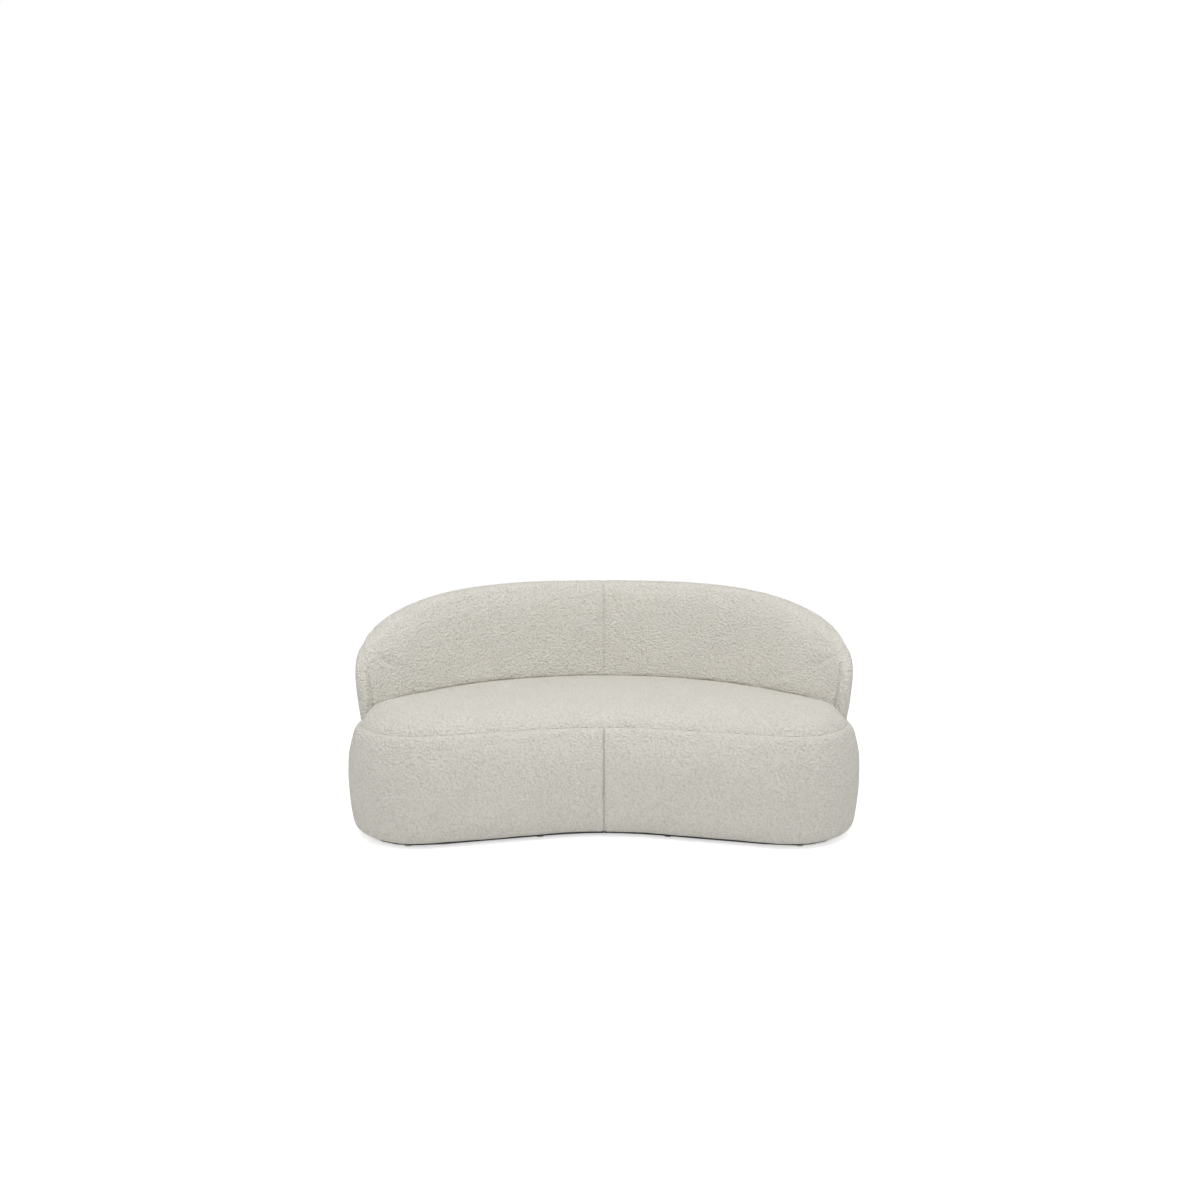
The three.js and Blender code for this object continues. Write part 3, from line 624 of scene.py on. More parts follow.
@dataclass(frozen=True)
class BlockProfile:
    """The side of the seat block and the crown of its top, as insets and heights.

    Attributes:
        hem_bottom: Height of the hem under the block.
        hem_width: Width of the hem that turns under the block.
        skirt_radius: Radius of the rounding at the bottom.
        skirt_knots: Number of points on that rounding.
        tuck: How far the side draws in below the belt.
        tuck_knots: Shares of the way up to the belt at which the side has a point.
        belt: Height of the widest place.
        roll_inset: Depth of the rounding above the belt.
        roll_height: Height of the rounding above the belt.
        roll_knots: Angles on that rounding at which the side has a point.
        seam_inset: Inset of the seam between the side and the top.
        seam_height: Height of the side beside that seam.
        seam_depth: How deep the seam is drawn in.
        seam_width: How wide the groove of the seam is.
        seam_way: Way into the groove, inward and up, for each unit of its depth.
        crown_step: Height of the top beside the seam, over the side.
        crown_rise: Rise of the crown.
        crown_inset: Inset at which the crown is flat.
        crown_power: How quickly the crown flattens.
        close_step: Spacing of the points beside a seam.
        side_step: Even spacing of the points on the side.
        top_step: Even spacing of the points on the crown.
    """

    hem_bottom: float = 0.012
    hem_width: float = 0.036
    skirt_radius: float = 0.053
    skirt_knots: int = 5
    tuck: float = 0.011
    tuck_knots: tuple[float, ...] = (0.3, 0.65, 1.0)
    belt: float = 0.215
    roll_inset: float = 0.0684
    roll_height: float = 0.190
    roll_knots: tuple[float, ...] = tuple(math.radians(degrees) for degrees in (14.0, 28.0, 42.0, 55.0))
    seam_inset: float = 0.0466
    seam_height: float = 0.382
    seam_depth: float = 0.0055
    seam_width: float = 0.0085
    seam_way: tuple[float, float] = (0.3, -0.95)
    crown_step: float = 0.006
    crown_rise: float = 0.050
    crown_inset: float = 0.178
    crown_power: float = 2.45
    close_step: float = 0.0013
    side_step: float = 0.0125
    top_step: float = 0.0115

    @cached_property
    def seam_line(self) -> float:
        """Height of the seam itself, a third of the way up the step from the side to the top."""
        return self.seam_height + self.crown_step / 3.0

    def side_knots(self) -> Array:
        """Points of the side from the hem to the seam, before the seam is drawn in.

        The skirt is a quarter circle, the tuck is a parabola that leaves the belt upright, and the roll is a
        quarter of an ellipse.

        Returns:
            Insets and heights, one point per line.
        """
        line = self.tuck + self.skirt_radius
        angle = np.linspace(0.0, np.pi / 2.0, self.skirt_knots)
        hem = [[line + self.hem_width, self.hem_bottom], [line + self.hem_width / 2.0, self.hem_bottom]]
        skirt = np.stack([line - self.skirt_radius * np.sin(angle),
                          self.hem_bottom + self.skirt_radius * (1.0 - np.cos(angle))], axis=1)
        top = self.hem_bottom + self.skirt_radius
        share = np.array(self.tuck_knots)
        tuck = np.stack([self.tuck * (1.0 - share) ** 2, top + share * (self.belt - top)], axis=1)
        turn = np.array(self.roll_knots)
        roll = np.stack([self.roll_inset * (1.0 - np.cos(turn)), self.belt + self.roll_height * np.sin(turn)], axis=1)
        return np.concatenate([hem, skirt, tuck, roll, [[self.seam_inset, self.seam_line]]])

    def groove(self, distance: Array) -> Array:
        """Way in and down beside the seam, as a bell curve of the distance to it."""
        return self.seam_depth * bell(distance, self.seam_width)[:, None] * np.array(self.seam_way)

    def side(self) -> Array:
        """Draws the side of the block from the hem to the seam, with close rows beside the seam.

        Returns:
            Insets and heights.
        """
        steps = self.close_step, self.side_step, (False, True)
        curve, places = smooth_curve(self.side_knots(), lambda length: graded(0.0, length, *steps))
        return curve + self.groove(places[-1] - places)

    def crown(self) -> Array:
        """Draws the top of the block from the seam to where it is flat, with close rows beside the seam.

        The height is the seam's plus the rise times one less the power of what is left of the way in.

        Returns:
            Insets and heights.
        """
        inset = graded(self.seam_inset, self.crown_inset, self.close_step, self.top_step, (True, False))
        share = (inset - self.seam_inset) / (self.crown_inset - self.seam_inset)
        rise = self.seam_height + self.crown_step + self.crown_rise - self.seam_line
        height = self.seam_line + rise * (1.0 - (1.0 - share) ** self.crown_power)
        return np.stack([inset, height], axis=1) + self.groove(inset - self.seam_inset)

    @cached_property
    def upper_side(self) -> Array:
        """Insets and heights of the side from the belt up."""
        side = self.side()
        return side[side[:, 1] >= self.belt]

    def surface_height(self, inset: Array) -> Array:
        """Height of the block's surface above the belt at an inset, read off its two profiles."""
        whole = np.concatenate([self.upper_side, self.crown()[1:]])
        return np.interp(inset, whole[:, 0], whole[:, 1])

    def surface_inset(self, height: Array) -> Array:
        """Inset of the block's side above the belt at a height, read off its profile."""
        return np.interp(height, self.upper_side[:, 1], self.upper_side[:, 0])


def cell_rows(points: Array, faces: Indices, inside: tuple[float, float, float]) -> tuple[Array, Indices]:
    """Flattens a grid of points into a list and turns its cells outward.

    Args:
        points: Grid of points, rows by columns by three.
        faces: Cells as four point numbers.
        inside: A point on the inner side.

    Returns:
        Points, one per line, and the turned cells.
    """
    flat = points.reshape(-1, 3)
    return flat, turn_outward(flat, faces, np.array(inside))


@dataclass(frozen=True)
class SeatUpholstery:
    """The covers of the seat block: a crowned top, two front borders and a rear border.

    Attributes:
        outline: Outline of the block.
        profile: Side and crown of the block.
        gap: Gap from a seam to each of its two panels.
        centre_depth: How deep an upright seam, such as the one in the middle of the front, is drawn in.
        centre_width: How wide its groove is.
        centre_fade: Way down from the top seam over which that groove comes in.
        step: Even spacing of the columns.
        tip_share: Share of the lobe after which the rear half of the top begins.
        lift: Rise of the middle of the top over its crown.
        cap_rows: Number of rows across the middle of the top.
        ring_steps: Columns on a quarter of the top's ring.
        sewn_width: Width beside a seam that stays where it is sewn.
        pressed_held: How far the top is pressed down where it is held too.
        seam_fade: Share of the top seam's groove that is gone on the haunches and behind.
        fade_start: Share of the lobe at which that fading begins.
        fade_stop: Share of the lobe at which it is whole.
        core: A point inside the block, from which its faces look away.
    """

    outline: Outline = field(default_factory=Outline)
    profile: BlockProfile = field(default_factory=BlockProfile)
    gap: float = 0.00015
    centre_depth: float = 0.0055
    centre_width: float = 0.0062
    centre_fade: float = 0.012
    step: float = 0.0125
    tip_share: float = 0.6
    lift: float = 0.006
    cap_rows: int = 26
    ring_steps: int = 64
    sewn_width: float = 0.006
    pressed_held: float = 0.002
    seam_fade: float = 0.7
    fade_start: float = 0.2
    fade_stop: float = 0.7
    core: tuple[float, float, float] = (0.0, 0.0, 0.25)

    def seam_relief(self, runs: Array) -> Array:
        """Works out the share of the top seam's groove that is taken back; it rises round a lobe.

        Args:
            runs: Runs of the columns.

        Returns:
            Shares.
        """
        lengths = self.outline.lengths
        share = (runs - lengths[:Stretch.LOBE].sum()) / lengths[Stretch.LOBE]
        return self.seam_fade * ease((share - self.fade_start) / (self.fade_stop - self.fade_start))

    @cached_property
    def side_seam(self) -> float:
        """Run of the seam where the front and the rear border meet, two thirds along the haunch."""
        lengths = self.outline.lengths
        return float(lengths[:Stretch.HAUNCH].sum() + lengths[Stretch.HAUNCH] * 2.0 / 3.0)

    def border(self, runs: Array, signs: Array, seams: Array) -> tuple[Array, Indices, Indices]:
        """Carries the side profile along the outline and draws it in beside the upright seams.

        A point is the place on the outline at the profile's inset plus a bell curve of the distance to the
        nearest upright seam, at the profile's height.

        Args:
            runs: Runs of the columns.
            signs: Sign of X of each column.
            seams: Distance of each column from the nearest upright seam.

        Returns:
            Points, cells and the numbers of the sewn points.
        """
        profile = self.profile.side()
        steps = np.linalg.norm(np.diff(profile, axis=0), axis=1)
        below = np.concatenate([np.cumsum(steps[::-1])[::-1], [0.0]])
        free = 1.0 - bell(below, self.centre_fade)
        inset = profile[:, :1] + self.centre_depth * free[:, None] * bell(seams, self.centre_width)[None, :]
        groove = self.profile.groove(below)[..., None] * self.seam_relief(runs)
        x, y = self.outline.rim(runs[None, :], inset - groove[:, 0])
        points = np.stack([x * signs, y, profile[:, 1:] - groove[:, 1]], axis=-1)
        faces = grid_faces(*x.shape)
        held = (below[:, None] < self.sewn_width) | (seams[None, :] < self.sewn_width)
        held[0] = True
        return *cell_rows(points, faces, self.core), np.flatnonzero(held.ravel())

    def front_border(self, side: Side) -> tuple[Array, Indices, Indices]:
        """Makes the front border of one side, from the middle of the front to the side seam.

        Args:
            side: Side of the sofa.

        Returns:
            Points, cells and the numbers of the sewn points.
        """
        runs = graded(self.gap, self.side_seam - self.gap, self.profile.close_step, self.step, (True, True))
        seams = np.minimum(runs, self.side_seam - runs)
        return self.border(runs, np.full(len(runs), side.value), seams)

    def rear_border(self) -> tuple[Array, Indices, Indices]:
        """Makes the rear border, from the right side seam round the rear to the left one.

        Returns:
            Points, cells and the numbers of the sewn points.
        """
        close = self.profile.close_step
        half = graded(self.side_seam + self.gap, self.outline.length, close, self.step, (True, False))
        runs = np.concatenate([half, half[-2::-1]])
        signs = np.concatenate([np.ones(len(half)), -np.ones(len(half) - 1)])
        return self.border(runs, signs, runs - self.side_seam)

    def top(self, tuck: Callable[[Array, Array], Array]) -> tuple[Array, Indices, Indices]:
        """Crowned top: a ring that rises from the seam, and rows that span its middle.

        The ring is the crown's profile carried round the outline. Each row of the middle joins a column of the
        front to the column of the rear that faces it, and is lifted by a squared sine of its share of the way.

        Args:
            tuck: Gives how far the top is pressed down at runs and insets, where the back tucks into it.

        Returns:
            Points, cells and the numbers of the sewn points.
        """
        steps = self.ring_steps
        lengths = self.outline.lengths
        tip = float(lengths[:Stretch.LOBE].sum() + self.tip_share * lengths[Stretch.LOBE])
        after = np.linspace(tip, self.outline.length, steps + 1)[1:]
        half = np.concatenate([np.linspace(0.0, tip, steps + 1), after])
        runs = np.concatenate([half, half[-2:0:-1]])
        signs = np.concatenate([np.ones(len(half)), -np.ones(len(half) - 2)])
        profile = self.profile.crown() + np.array([self.gap, 0.0])
        groove = self.profile.groove(profile[:, 0] - self.profile.seam_inset)[..., None] * self.seam_relief(runs)
        x, y = self.outline.rim(runs[None, :], profile[:, :1] - groove[:, 0])
        pressed = tuck(np.broadcast_to(runs, x.shape), np.broadcast_to(profile[:, :1], x.shape))
        ring = np.stack([x * signs, y, profile[:, 1:] - groove[:, 1] - pressed], axis=-1)
        around = len(runs)
        across = np.arange(-steps, steps + 1)
        front = ring[-1][across % around]
        rear = ring[-1][(2 * steps - across) % around]
        share = np.linspace(0.0, 1.0, self.cap_rows + 1)[1:-1]
        cap = front[1:-1, None, :] + share[None, :, None] * (rear - front)[1:-1, None, :]
        cap[..., 2] += self.lift * np.sin(np.pi * share) ** 2 * (1.0 - (across[1:-1, None] / steps) ** 2)
        numbers = np.empty((2 * steps + 1, self.cap_rows + 1), dtype=np.int64)
        last = (len(profile) - 1) * around
        numbers[:, 0] = last + across % around
        numbers[:, -1] = last + (2 * steps - across) % around
        numbers[0], numbers[-1] = numbers[0, 0], numbers[-1, 0]
        numbers[1:-1, 1:-1] = len(profile) * around + np.arange(cap[..., 0].size).reshape(cap.shape[:2])
        cells = np.stack([numbers[:-1, :-1], numbers[:-1, 1:], numbers[1:, 1:], numbers[1:, :-1]], axis=-1)
        ring_cells = grid_faces(len(profile), around, closed=True)
        points = np.concatenate([ring.reshape(-1, 3), cap.reshape(-1, 3)])
        middle = turn_outward(points, cells.reshape(-1, 4), np.array(self.core))
        outer = turn_outward(points, ring_cells, np.array(self.core))
        near = (profile[:, :1] - self.profile.seam_inset < self.sewn_width) | (pressed > self.pressed_held)
        return points, np.concatenate([outer, middle]), np.flatnonzero(near.ravel())

    def covers(self, tuck: Callable[[Array, Array], Array]) -> list[Cover]:
        """Lists the covers of the seat.

        Args:
            tuck: Gives how far the top is pressed down at runs and insets.

        Returns:
            The panels, each with the CAD node that it stands for.
        """
        return [
            Cover("seat_top", "seat_top_cover", *self.top(tuck), seed=3),
            Cover("seat_front_right", "seat_border_front_right", *self.front_border(Side.RIGHT), seed=5),
            Cover("seat_front_left", "seat_border_front_left", *self.front_border(Side.LEFT), seed=7),
            Cover("seat_rear", "seat_border_rear", *self.rear_border(), seed=9),
        ]


# Back


@dataclass(frozen=True)
class BackUpholstery:
    """The covers of the back: a front and an outer panel on each side of the middle.

    Attributes:
        seat: The seat that the back stands on.
        crest: Height of the crest in the middle.
        foot: Height of the foot of the section.
        set_in: Inset of the outer face.
        rear: Depth from the spine line to the outer face.
        front: Depth from the spine line to the front face.
        wing_turn: Angle at which the back ends.
        wing_taper: Length over which the front face comes in to the spine line.
        wing_edge: Length over which the outer face does.
        wing_taper_power: How full the front face stays.
        wing_edge_power: How full the outer face stays.
        crest_flat: Run up to which the crest is level.
        crest_power: How full the crest stays before it comes down.
        rake: How far the crest leans back.
        bulge: How far the middle of the section bows back.
        thin_share: Share by which the section thins towards the crest.
        section_power: How square the section is.
        centre_depth: How deep the seam in the middle is drawn in.
        centre_width: How wide its groove is.
        seam_share: Turn of the section at which the panels meet.
        wing_seam_start: Share of the back's length after which that seam comes down the front of the wing.
        wing_seam_stop: Share of the back's length at which it has come down to the foot.
        wing_seam_power: How full its curve is.
        wing_seam_extra: Share by which it is deeper on the front of the wing than over the crest.
        wing_seam_turn: Turn of the section under which it is so.
        wing_seam_fade: Turn over which that share comes in.
        seam_depth: How deep that seam is drawn in.
        seam_width: How wide its groove is.
        gap: Gap from a seam to each of its panels.
        hem_height: Height of the hem of the outer panels.
        hem_depth: How far that hem may be drawn in, until it lies on the seat's side.
        hem_width: How wide the rounding above the hem is.
        tuck_depth: How far the front panel is tucked into the seat.
        tuck_room: How much deeper the seat is pressed down than that.
        tuck_reach: How far in front of the panel's foot the seat begins to go down.
        tuck_fade: Way to the wing's end over which the tuck fades out.
        squeeze: How far the seat swells up beside the foot of a wing.
        squeeze_reach: How far along the seat that swelling goes.
        squeeze_rise: Way in from the seam over which it rises.
        squeeze_fall: Way in after which it falls, and over which it does.
        root: Height of one turn of the straight part under the foot.
        root_turn: Turns that the straight part is long.
        search_turn: Turns under the foot from which the seat's surface is looked for.
        step: Even spacing of the columns and rows.
        close_run: Spacing of the columns beside the seam in the middle.
        close_row: Spacing of the rows beside the seam between the panels.
        swing_steps: Number of columns where the seam comes down.
        end_steps: Number of columns after it, closer and closer.
        end_power: How quickly they come closer.
        end_rise: How far the wing's end stands above the seat at the last column.
        front_rise: How far above the seat the seam still is where the front panel stops.
        seam_rise: How far above the seat the seam stays.
        behind: A point behind the front panel on the right.
        before: A point in front of the outer panels.
    """

    seat: SeatUpholstery = field(default_factory=SeatUpholstery)
    crest: float = 0.791
    foot: float = 0.372
    set_in: float = 0.017
    rear: float = 0.040
    front: float = 0.117
    wing_turn: float = math.radians(85.1)
    wing_taper: float = 0.258
    wing_edge: float = 0.050
    wing_taper_power: float = 1.15
    wing_edge_power: float = 2.2
    crest_flat: float = 0.171
    crest_power: float = 2.82
    rake: float = 0.038
    bulge: float = 0.015
    thin_share: float = 0.18
    section_power: float = 4.2
    centre_depth: float = 0.0022
    centre_width: float = 0.0070
    seam_share: float = 0.65
    wing_seam_start: float = 0.88
    wing_seam_stop: float = 0.976
    wing_seam_power: float = 2.1
    wing_seam_extra: float = 1.3
    wing_seam_turn: float = 0.42
    wing_seam_fade: float = 0.1
    seam_depth: float = 0.0032
    seam_width: float = 0.005
    gap: float = 0.00015
    hem_height: float = 0.356
    hem_depth: float = 0.007
    hem_width: float = 0.010
    tuck_depth: float = 0.004
    tuck_room: float = 0.001
    tuck_reach: float = 0.025
    tuck_fade: float = 0.04
    squeeze: float = 0.013
    squeeze_reach: float = 0.075
    squeeze_rise: float = 0.03
    squeeze_fall: float = 0.09
    root: float = 0.4
    root_turn: float = 0.3
    search_turn: float = 0.25
    step: float = 0.0125
    close_run: float = 0.0010
    close_row: float = 0.0014
    swing_steps: int = 44
    end_steps: int = 18
    end_power: float = 2.2
    end_rise: float = 0.002
    front_rise: float = 1e-3
    seam_rise: float = 1e-5
    behind: tuple[float, float, float] = (1.1, 1.3, 0.5)
    before: tuple[float, float, float] = (0.0, 0.0, 0.5)

    @cached_property
    def spine_rear(self) -> float:
        """Radius of the spine line behind the seat."""
        return self.seat.outline.rear_radius - self.set_in - self.rear

    @cached_property
    def spine_haunch(self) -> float:
        """Radius of the spine line at the sides."""
        return self.seat.outline.haunch_radius - self.set_in - self.rear

    @cached_property
    def end(self) -> float:
        """Run at which the back ends."""
        turn = self.seat.outline.rear_turn
        return self.spine_rear * turn + self.spine_haunch * (self.wing_turn - turn)

    def spine(self, run: Array, across: Array) -> tuple[Array, Array]:
        """Places points beside the right half of the spine line, which is two tangent arcs.

        Args:
            run: Runs along the spine line.
            across: Distances out from it.

        Returns:
            X and Y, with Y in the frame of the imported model.
        """
        outline = self.seat.outline
        bend = self.spine_rear * outline.rear_turn
        behind = run <= bend
        angle = np.where(behind, run / self.spine_rear, outline.rear_turn + (run - bend) / self.spine_haunch)
        centre_x = np.where(behind, 0.0, outline.width / 2.0 - outline.haunch_radius)
        centre_y = np.where(behind, outline.depth - outline.rear_radius, outline.lobe_radius)
        radius = np.where(behind, self.spine_rear, self.spine_haunch) + across
        return centre_x + radius * np.sin(angle), centre_y + radius * np.cos(angle) + CAD_BOX[0][1]

    def taper(self, run: Array, length: float, power: float) -> Array:
        """Falls from one to nothing over the last length of the back, as a quarter of a superellipse."""
        share = np.clip((run - (self.end - length)) / length, 0.0, 1.0)
        return (1.0 - share**power) ** (1.0 / power)

    def crest_share(self, run: Array) -> Array:
        """Falls from one where the crest is level to nothing at the end, as a quarter of a superellipse."""
        fall = np.clip((run - self.crest_flat) / (self.end - self.crest_flat), 0.0, 1.0)
        return (1.0 - fall**self.crest_power) ** (1.0 / self.crest_power)

    def section(self, run: Array, turn: Array, depth: Array | float = 0.0) -> tuple[Array, Array]:
        """Works out the back's cross-section as a superellipse that leans and bows back.

        The height is the foot plus a power of the sine of the turn times the crest's rise there. The distance
        across is the section's middle less a power of the cosine times half its thickness. Its middle sways back
        by the rake and by a parabola, less so where the wing is thinner than half. Under the foot the section
        goes straight down.

        Args:
            run: Runs along the spine line.
            turn: 0 at the foot of the front face, 1 at the foot of the outer face.
            depth: How far the surface is sunk.

        Returns:
            Distance across the spine line, outward, and height.
        """
        angle = np.clip(turn, 0.0, 1.0) * np.pi
        power = 2.0 / self.section_power
        up = np.maximum(np.sin(angle), 0.0) ** power
        over = np.sign(np.cos(angle)) * np.abs(np.cos(angle)) ** power
        rise = self.crest - self.foot
        top = rise * self.crest_share(run)
        lift = up * top**2 / np.maximum(top + depth, TINY)
        share = lift / rise
        front = self.front * self.taper(run, self.wing_taper, self.wing_taper_power)
        rear = self.rear * self.taper(run, self.wing_edge, self.wing_edge_power)
        half = (front + rear) / 2.0 * (1.0 - self.thin_share * share)
        half = half**2 / np.maximum(half + depth, TINY)
        sway = np.minimum(1.0, 2.0 * (front + rear) / (self.front + self.rear))
        middle = (rear - front) / 2.0 + sway * (self.rake * share + 4.0 * self.bulge * share * (1.0 - share))
        under = np.minimum(turn, 0.0) - np.maximum(turn - 1.0, 0.0)
        return middle - over * half, self.foot + lift + self.root * under

    @cached_property
    def lengths(self) -> tuple[Array, Array]:
        """Measures the section in the middle of the back.

        Returns:
            Turns from one root to the other, and the distance along the section up to each.
        """
        root_count, section_count = 200, 4000
        turns = np.concatenate([
            np.linspace(-self.root_turn, 0.0, root_count),
            0.5 * (1.0 - np.cos(np.linspace(0.0, np.pi, section_count)))[1:-1],
            np.linspace(1.0, 1.0 + self.root_turn, root_count),
        ])
        across, height = self.section(np.zeros_like(turns), turns)
        steps = np.hypot(np.diff(across), np.diff(height))
        return turns, np.concatenate([[0.0], np.cumsum(steps)])

    def turn_at(self, length: Array) -> Array:
        """Turn at a distance along the middle section."""
        turns, lengths = self.lengths
        return np.interp(length, lengths, turns)

    def length_at(self, turn: Array | float) -> Array:
        """Distance along the middle section at a turn."""
        turns, lengths = self.lengths
        return np.interp(turn, turns, lengths)

    def clearance(self, run: Array, length: Array, sunk: float) -> Array:
        """Height of the back's surface over the seat's surface, with the seat's taken lower by sunk."""
        across, height = self.section(run, self.turn_at(length))
        return height - self.seat.profile.surface_height(self.set_in + self.rear - across) + sunk

    def meeting(self, run: Array, front: bool, halvings: int = 40) -> Array:
        """Finds where the front or the outer face meets the seat, by halving the stretch that holds it.

        Args:
            run: Runs of the columns.
            front: Whether the front face is meant.
            halvings: How often the stretch is halved.

        Returns:
            Distances along the middle section.
        """
        low = np.full_like(run, self.length_at(-self.search_turn if front else 1.0 + self.search_turn))
        high = np.full_like(run, self.length_at(0.5))
        sunk = self.tuck_depth if front else 0.0
        for _ in range(halvings):
            middle = (low + high) / 2.0
            above = self.clearance(run, middle, sunk) > 0.0
            high = np.where(above, middle, high)
            low = np.where(above, low, middle)
        return high

    @cached_property
    def swing(self) -> tuple[float, float]:
        """Runs between which the seam comes down the front of the wing."""
        return self.wing_seam_start * self.end, self.wing_seam_stop * self.end

    def swing_runs(self, count: int) -> Array:
        """Runs over that stretch that follow a sine, so that they lie closest where the seam is steepest."""
        start, stop = self.swing
        return start + (stop - start) * np.sin(np.linspace(0.0, np.pi / 2.0, count + 1))

    def seam_length(self, run: Array) -> Array:
        """Works out where the panels meet; on a wing that falls as a superellipse.

        Args:
            run: Runs of the columns.

        Returns:
            Distances along the middle section.
        """
        start, stop = self.swing
        share = np.clip((run - start) / (stop - start), 0.0, 1.0)
        power = self.wing_seam_power
        return self.length_at(self.seam_share * (1.0 - share**power) ** (1.0 / power))

    def away_from_seam(self, run: Array, length: Array) -> Array:
        """Works out how far points lie from the seam, as the shortest way to one of its many places.

        Args:
            run: Runs of the columns.
            length: Distances along the middle section, rows by columns.

        Returns:
            Distances on the surface, with the heights shrunk as the crest is.
        """
        level, falling = 300, 500
        places = np.concatenate([np.linspace(0.0, self.swing[0], level), self.swing_runs(falling)[1:]])
        heights = self.seam_length(places) * self.crest_share(places)
        over = (length * self.crest_share(run))[..., None] - heights
        along = (run[:, None] - places)[None, :, :]
        return np.sqrt((over**2 + along**2).min(axis=-1))

    @cached_property
    def runs(self) -> Array:
        """Spreads the columns: close beside the middle seam, even, close along the wing's seam and at its end.

        The last one is where the section's top is still just above the seat.

        Returns:
            Runs of the columns, rising.
        """
        lowest, turn_count = 0.05, 181
        farthest, nearest, tries = 2e-2, 1e-7, 200
        turns = np.linspace(lowest, 1.0 - lowest, turn_count)[:, None]
        near = self.end - np.geomspace(farthest, nearest, tries)
        across, height = self.section(near[None, :], turns)
        over = (height - self.seat.profile.surface_height(self.set_in + self.rear - across)).max(axis=0)
        last = float(near[over > self.end_rise][-1])
        start, stop = self.swing
        even = graded(self.gap, start, self.close_run, self.step, (True, False))
        rest = last - (last - stop) * np.linspace(1.0, 0.0, self.end_steps + 1)[1:] ** self.end_power
        return np.concatenate([even, self.swing_runs(self.swing_steps)[1:], rest])

    def panel(self, side: Side, front: bool) -> tuple[Array, Indices, Indices]:
        """Spans one panel between where it meets the seat and the seam with the other panel.

        Each column goes evenly along the section from one to the other, and is sunk by bell curves of the
        distance to the seam in the middle, to the seam between the panels and to the outer panel's hem, which
        hangs over the seat's side and is drawn in until it lies on it. The front panel stops where that seam
        reaches the seat, and the outer panel wraps the wing's edge.

        Args:
            side: Side of the sofa.
            front: Whether it is the front panel.

        Returns:
            Points, cells and the numbers of the sewn points.
        """
        run = self.runs
        if front:
            run = run[self.seam_length(run) - self.gap > self.meeting(run, True) + self.front_rise]
        seam = np.maximum(self.seam_length(run), self.meeting(run, True) + self.seam_rise)
        foot = self.meeting(run, front)
        hem = np.zeros_like(run)
        if not front:
            foot = np.minimum(foot, self.length_at(1.0 + (self.foot - self.hem_height) / self.root))
            across, height = self.section(run, self.turn_at(foot))
            room = self.seat.profile.surface_inset(height) - (self.set_in + self.rear - across)
            hem = np.clip(room - self.gap, 0.0, self.hem_depth)
        edge = np.maximum(seam - self.gap, foot) if front else seam + self.gap
        span = float(np.abs(edge - foot).max())
        share = graded(0.0, 1.0, self.close_row / span, self.step / span, (False, True))[:, None]
        length = foot + share * (edge - foot)
        if not front:
            length = np.maximum(length, edge)
        away = self.away_from_seam(run, length)
        shrink = self.taper(run, self.wing_edge, self.wing_edge_power)
        turn = self.turn_at(length)
        start, stop = self.swing
        on_wing = ease((self.wing_seam_turn - turn) / self.wing_seam_fade) * ease(2.0 * (run - start) / (stop - start))
        depth = self.seam_depth * (1.0 + self.wing_seam_extra * on_wing) * shrink * bell(away, self.seam_width)
        depth = depth + self.centre_depth * bell(run, self.centre_width) + hem * bell(length - foot, self.hem_width)
        across, height = self.section(run[None, :], turn, depth)
        moved = run * (self.end - depth) / self.end
        x, y = self.spine(moved, across)
        points = np.stack([x * side.value, y, height], axis=-1)
        inside = (side.value * self.behind[0], *self.behind[1:]) if front else self.before
        near = self.seat.sewn_width
        held = (away < near) | (run[None, :] < near) | (run[None, :] > run[-1] - 2.0 * near)
        held |= (np.abs(length - foot) < near) | (np.abs(length - edge) < near)
        return *cell_rows(points, grid_faces(*x.shape), inside), np.flatnonzero(held.ravel())

    def tuck(self, run: Array, inset: Array) -> Array:
        """Works out how far the seat's top is pressed down where the front panel tucks into it.

        It eases from nothing to the tuck's depth over the last stretch before the panel's foot, and stays so
        under the back. It fades out towards the wing's end, where the seat swells up instead by a bell curve of
        the distance to that end, faded out towards the seam and the middle of the seat.

        Args:
            run: Runs on the seat's outline.
            inset: Insets there.

        Returns:
            Depths in metres.
        """
        outline = self.seat.outline
        piece, _, angle = outline.heading(run)
        turn = np.pi - angle
        bend = outline.rear_turn
        along = np.where(turn <= bend, turn * self.spine_rear,
                         bend * self.spine_rear + (turn - bend) * self.spine_haunch)
        short, count = 1e-4, 300
        places = np.linspace(0.0, self.end - short, count)
        across, _ = self.section(places, self.turn_at(self.meeting(places, True)))
        foot = self.set_in + self.rear - np.interp(along, places, across)
        fade = ease((self.end - along) / self.tuck_fade) * (piece >= Stretch.HAUNCH)
        swell = ease((inset - self.seat.profile.seam_inset) / self.squeeze_rise)
        swell = swell * (1.0 - ease((inset - self.squeeze_fall) / self.squeeze_fall))
        swell = self.squeeze * swell * bell(along - self.end, self.squeeze_reach) * (piece >= Stretch.LOBE)
        press = (self.tuck_depth + self.tuck_room) * ease((foot + self.tuck_reach - inset) / self.tuck_reach)
        return press * fade - swell

    def covers(self) -> list[Cover]:
        """Lists the covers of the back.

        Returns:
            The panels, each with the CAD node that it stands for.
        """
        return [
            Cover("back_front_right", "back_cover_front_right", *self.panel(Side.RIGHT, True), seed=11),
            Cover("back_front_left", "back_cover_front_left", *self.panel(Side.LEFT, True), seed=13),
            Cover("back_outer_right", "back_cover_outer_right", *self.panel(Side.RIGHT, False), seed=15),
            Cover("back_outer_left", "back_cover_outer_left", *self.panel(Side.LEFT, False), seed=17),
        ]


# Materials


Adder = Callable[..., bpy.types.Node]
"""Adds a node to one tree: add_node with its tree already given."""

